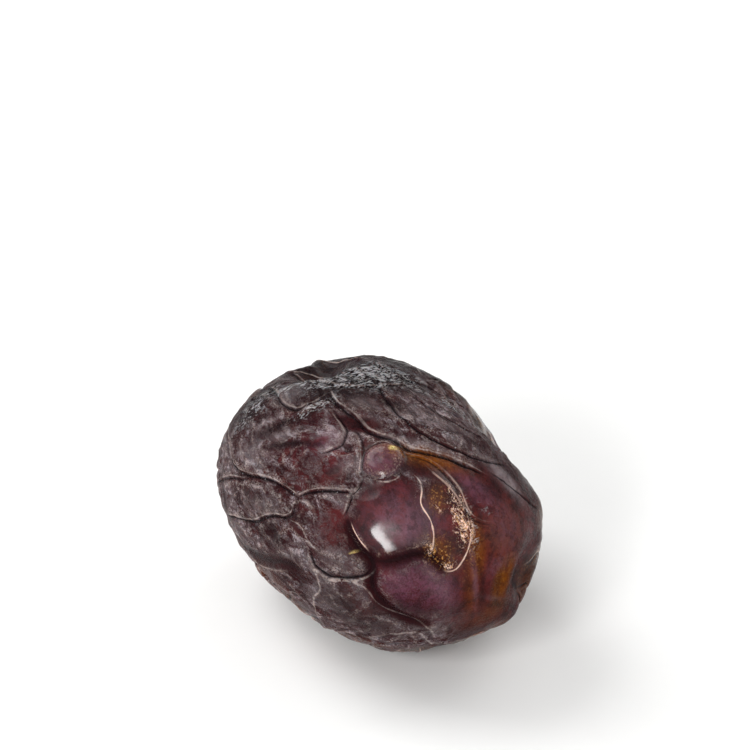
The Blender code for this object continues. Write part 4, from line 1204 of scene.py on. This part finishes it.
class DateStageSettings(bpy.types.PropertyGroup):
    """Floor, light and camera."""

    floor: colour_value("Floor", "Colour of the floor", 0.93, 0.93, 0.92)
    floor_side: number_value("Floor side", "Side of the floor", 3.0, 0.2, unit="LENGTH")
    top_power: number_value("Top power", "Power of the wide light above and behind", 3.5, unit="POWER")
    strip_power: number_value("Strip power", "Power of the narrow light in front", 2.6, unit="POWER")
    side_power: number_value("Side power", "Power of the soft light behind at the right", 1.2, unit="POWER")
    sky: number_value("Surround", "Strength of the white surroundings", 0.44)


class DATE_OT_add_skin(bpy.types.Operator):
    """Adds the date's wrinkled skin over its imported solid"""

    bl_idname = "dried_date.add_skin"
    bl_label = "Add Date Skin"

    def execute(self, context):
        points, marks = dressed_skin()
        quads, first_fan, last_fan = ring_faces()
        mesh = bpy.data.meshes.new("date_skin")
        mesh.from_pydata(points.tolist(), [], quads.tolist() + first_fan.tolist() + last_fan.tolist())
        mesh.shade_smooth()
        for name, values in marks.items():
            attribute = mesh.attributes.new(name, "FLOAT", "POINT")
            attribute.data.foreach_set("value", values.astype(np.float32))
        mesh.materials.append(skin_material(context.scene.date_skin))
        skin = bpy.data.objects.new("date_skin", mesh)
        context.scene.collection.objects.link(skin)
        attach(skin, "root")
        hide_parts("date")
        return {"FINISHED"}


def aimed(item, place, aim, roll=0):
    """Puts a light or camera at its place, its -Z axis at the aim, rolled about it by that many degrees."""
    item.location = place
    facing_aim = (Vector(aim) - Vector(place)).to_track_quat("-Z", "Y")
    item.rotation_euler = (facing_aim @ Quaternion((0, 0, 1), np.radians(roll))).to_euler()
    bpy.context.scene.collection.objects.link(item)


def add_light(name, place, power, aim):
    """An area light, placed by its way right of, towards and above the standpoint's view of the fruit."""
    turn = np.radians(SEEN_AZIMUTH)
    right, towards = np.array([np.cos(turn), np.sin(turn), 0]), np.array([np.sin(turn), -np.cos(turn), 0])
    light = bpy.data.lights.new(name, "AREA")
    light.energy = power
    light.shape = "RECTANGLE"
    light.size, light.size_y, roll = place[3:]
    world_place = place[0] * right + place[1] * towards + np.array([0, 0, place[2]])
    aimed(bpy.data.objects.new(name, light), world_place.tolist(), aim, roll)


class DATE_OT_add_stage(bpy.types.Operator):
    """Adds the floor, the lights and the camera"""

    bl_idname = "dried_date.add_stage"
    bl_label = "Add Stage"

    def execute(self, context):
        scene, settings = context.scene, context.scene.date_stage
        half = settings.floor_side / 2
        mesh = bpy.data.meshes.new("floor")
        corners = [(-half, -half, 0), (half, -half, 0), (half, half, 0), (-half, half, 0)]
        mesh.from_pydata(corners, [], [(0, 1, 2, 3)])
        mesh.materials.append(floor_material(settings))
        floor = bpy.data.objects.new("floor", mesh)
        scene.collection.objects.link(floor)

        middle = np.array([-MIDDLE_X, -MIDDLE_Y, HALF_HEIGHT - FLAT_SINK])
        aim_at_fruit = (middle * MM).tolist()
        add_light("top_light", TOP_LIGHT, settings.top_power, aim_at_fruit)
        add_light("strip_light", STRIP_LIGHT, settings.strip_power, aim_at_fruit)
        add_light("side_light", SIDE_LIGHT, settings.side_power, aim_at_fruit)
        world = bpy.data.worlds.new("white_surround")
        world.use_nodes = True
        background = world.node_tree.nodes["Background"]
        background.inputs["Color"].default_value = (1, 1, 1, 1)
        background.inputs["Strength"].default_value = settings.sky
        scene.world = world
        scene.view_settings.view_transform = "Standard"

        right, up, back = view_axes()
        camera = bpy.data.cameras.new("camera")
        camera.sensor_width = SENSOR
        camera.lens = SENSOR * EYE_DISTANCE * PX_PER_MM / FRAME_PX
        camera.clip_start, camera.clip_end = 0.01, 10
        off_right, off_up = (FRAME_PX / 2 - FRUIT_PX[0]) / PX_PER_MM, (FRUIT_PX[1] - FRAME_PX / 2) / PX_PER_MM
        aim = middle + off_right * right + off_up * up
        seat = bpy.data.objects.new("camera", camera)
        aimed(seat, ((middle + EYE_DISTANCE * back) * MM).tolist(), (aim * MM).tolist())
        scene.camera = seat
        return {"FINISHED"}


class DATE_PT_panel(bpy.types.Panel):
    """Sizes, colours and buttons of the dried date"""

    bl_label = "Dried Date"
    bl_idname = "DATE_PT_panel"
    bl_space_type = "VIEW_3D"
    bl_region_type = "UI"
    bl_category = "Dried Date"

    def draw(self, context):
        for settings in (context.scene.date_skin, context.scene.date_stage):
            box = self.layout.box()
            for name in settings.__annotations__:
                box.prop(settings, name)
        for operator in (DATE_OT_add_skin, DATE_OT_add_stage):
            self.layout.operator(operator.bl_idname)


CLASSES = (DateSkinSettings, DateStageSettings, DATE_OT_add_skin, DATE_OT_add_stage, DATE_PT_panel)


def register():
    for kind in CLASSES:
        bpy.utils.register_class(kind)
    bpy.types.Scene.date_skin = bpy.props.PointerProperty(type=DateSkinSettings)
    bpy.types.Scene.date_stage = bpy.props.PointerProperty(type=DateStageSettings)


def unregister():
    del bpy.types.Scene.date_stage
    del bpy.types.Scene.date_skin
    for kind in reversed(CLASSES):
        bpy.utils.unregister_class(kind)


def main():
    register()
    bpy.ops.dried_date.add_skin()
    bpy.ops.dried_date.add_stage()


if __name__ == "__main__":
    main()
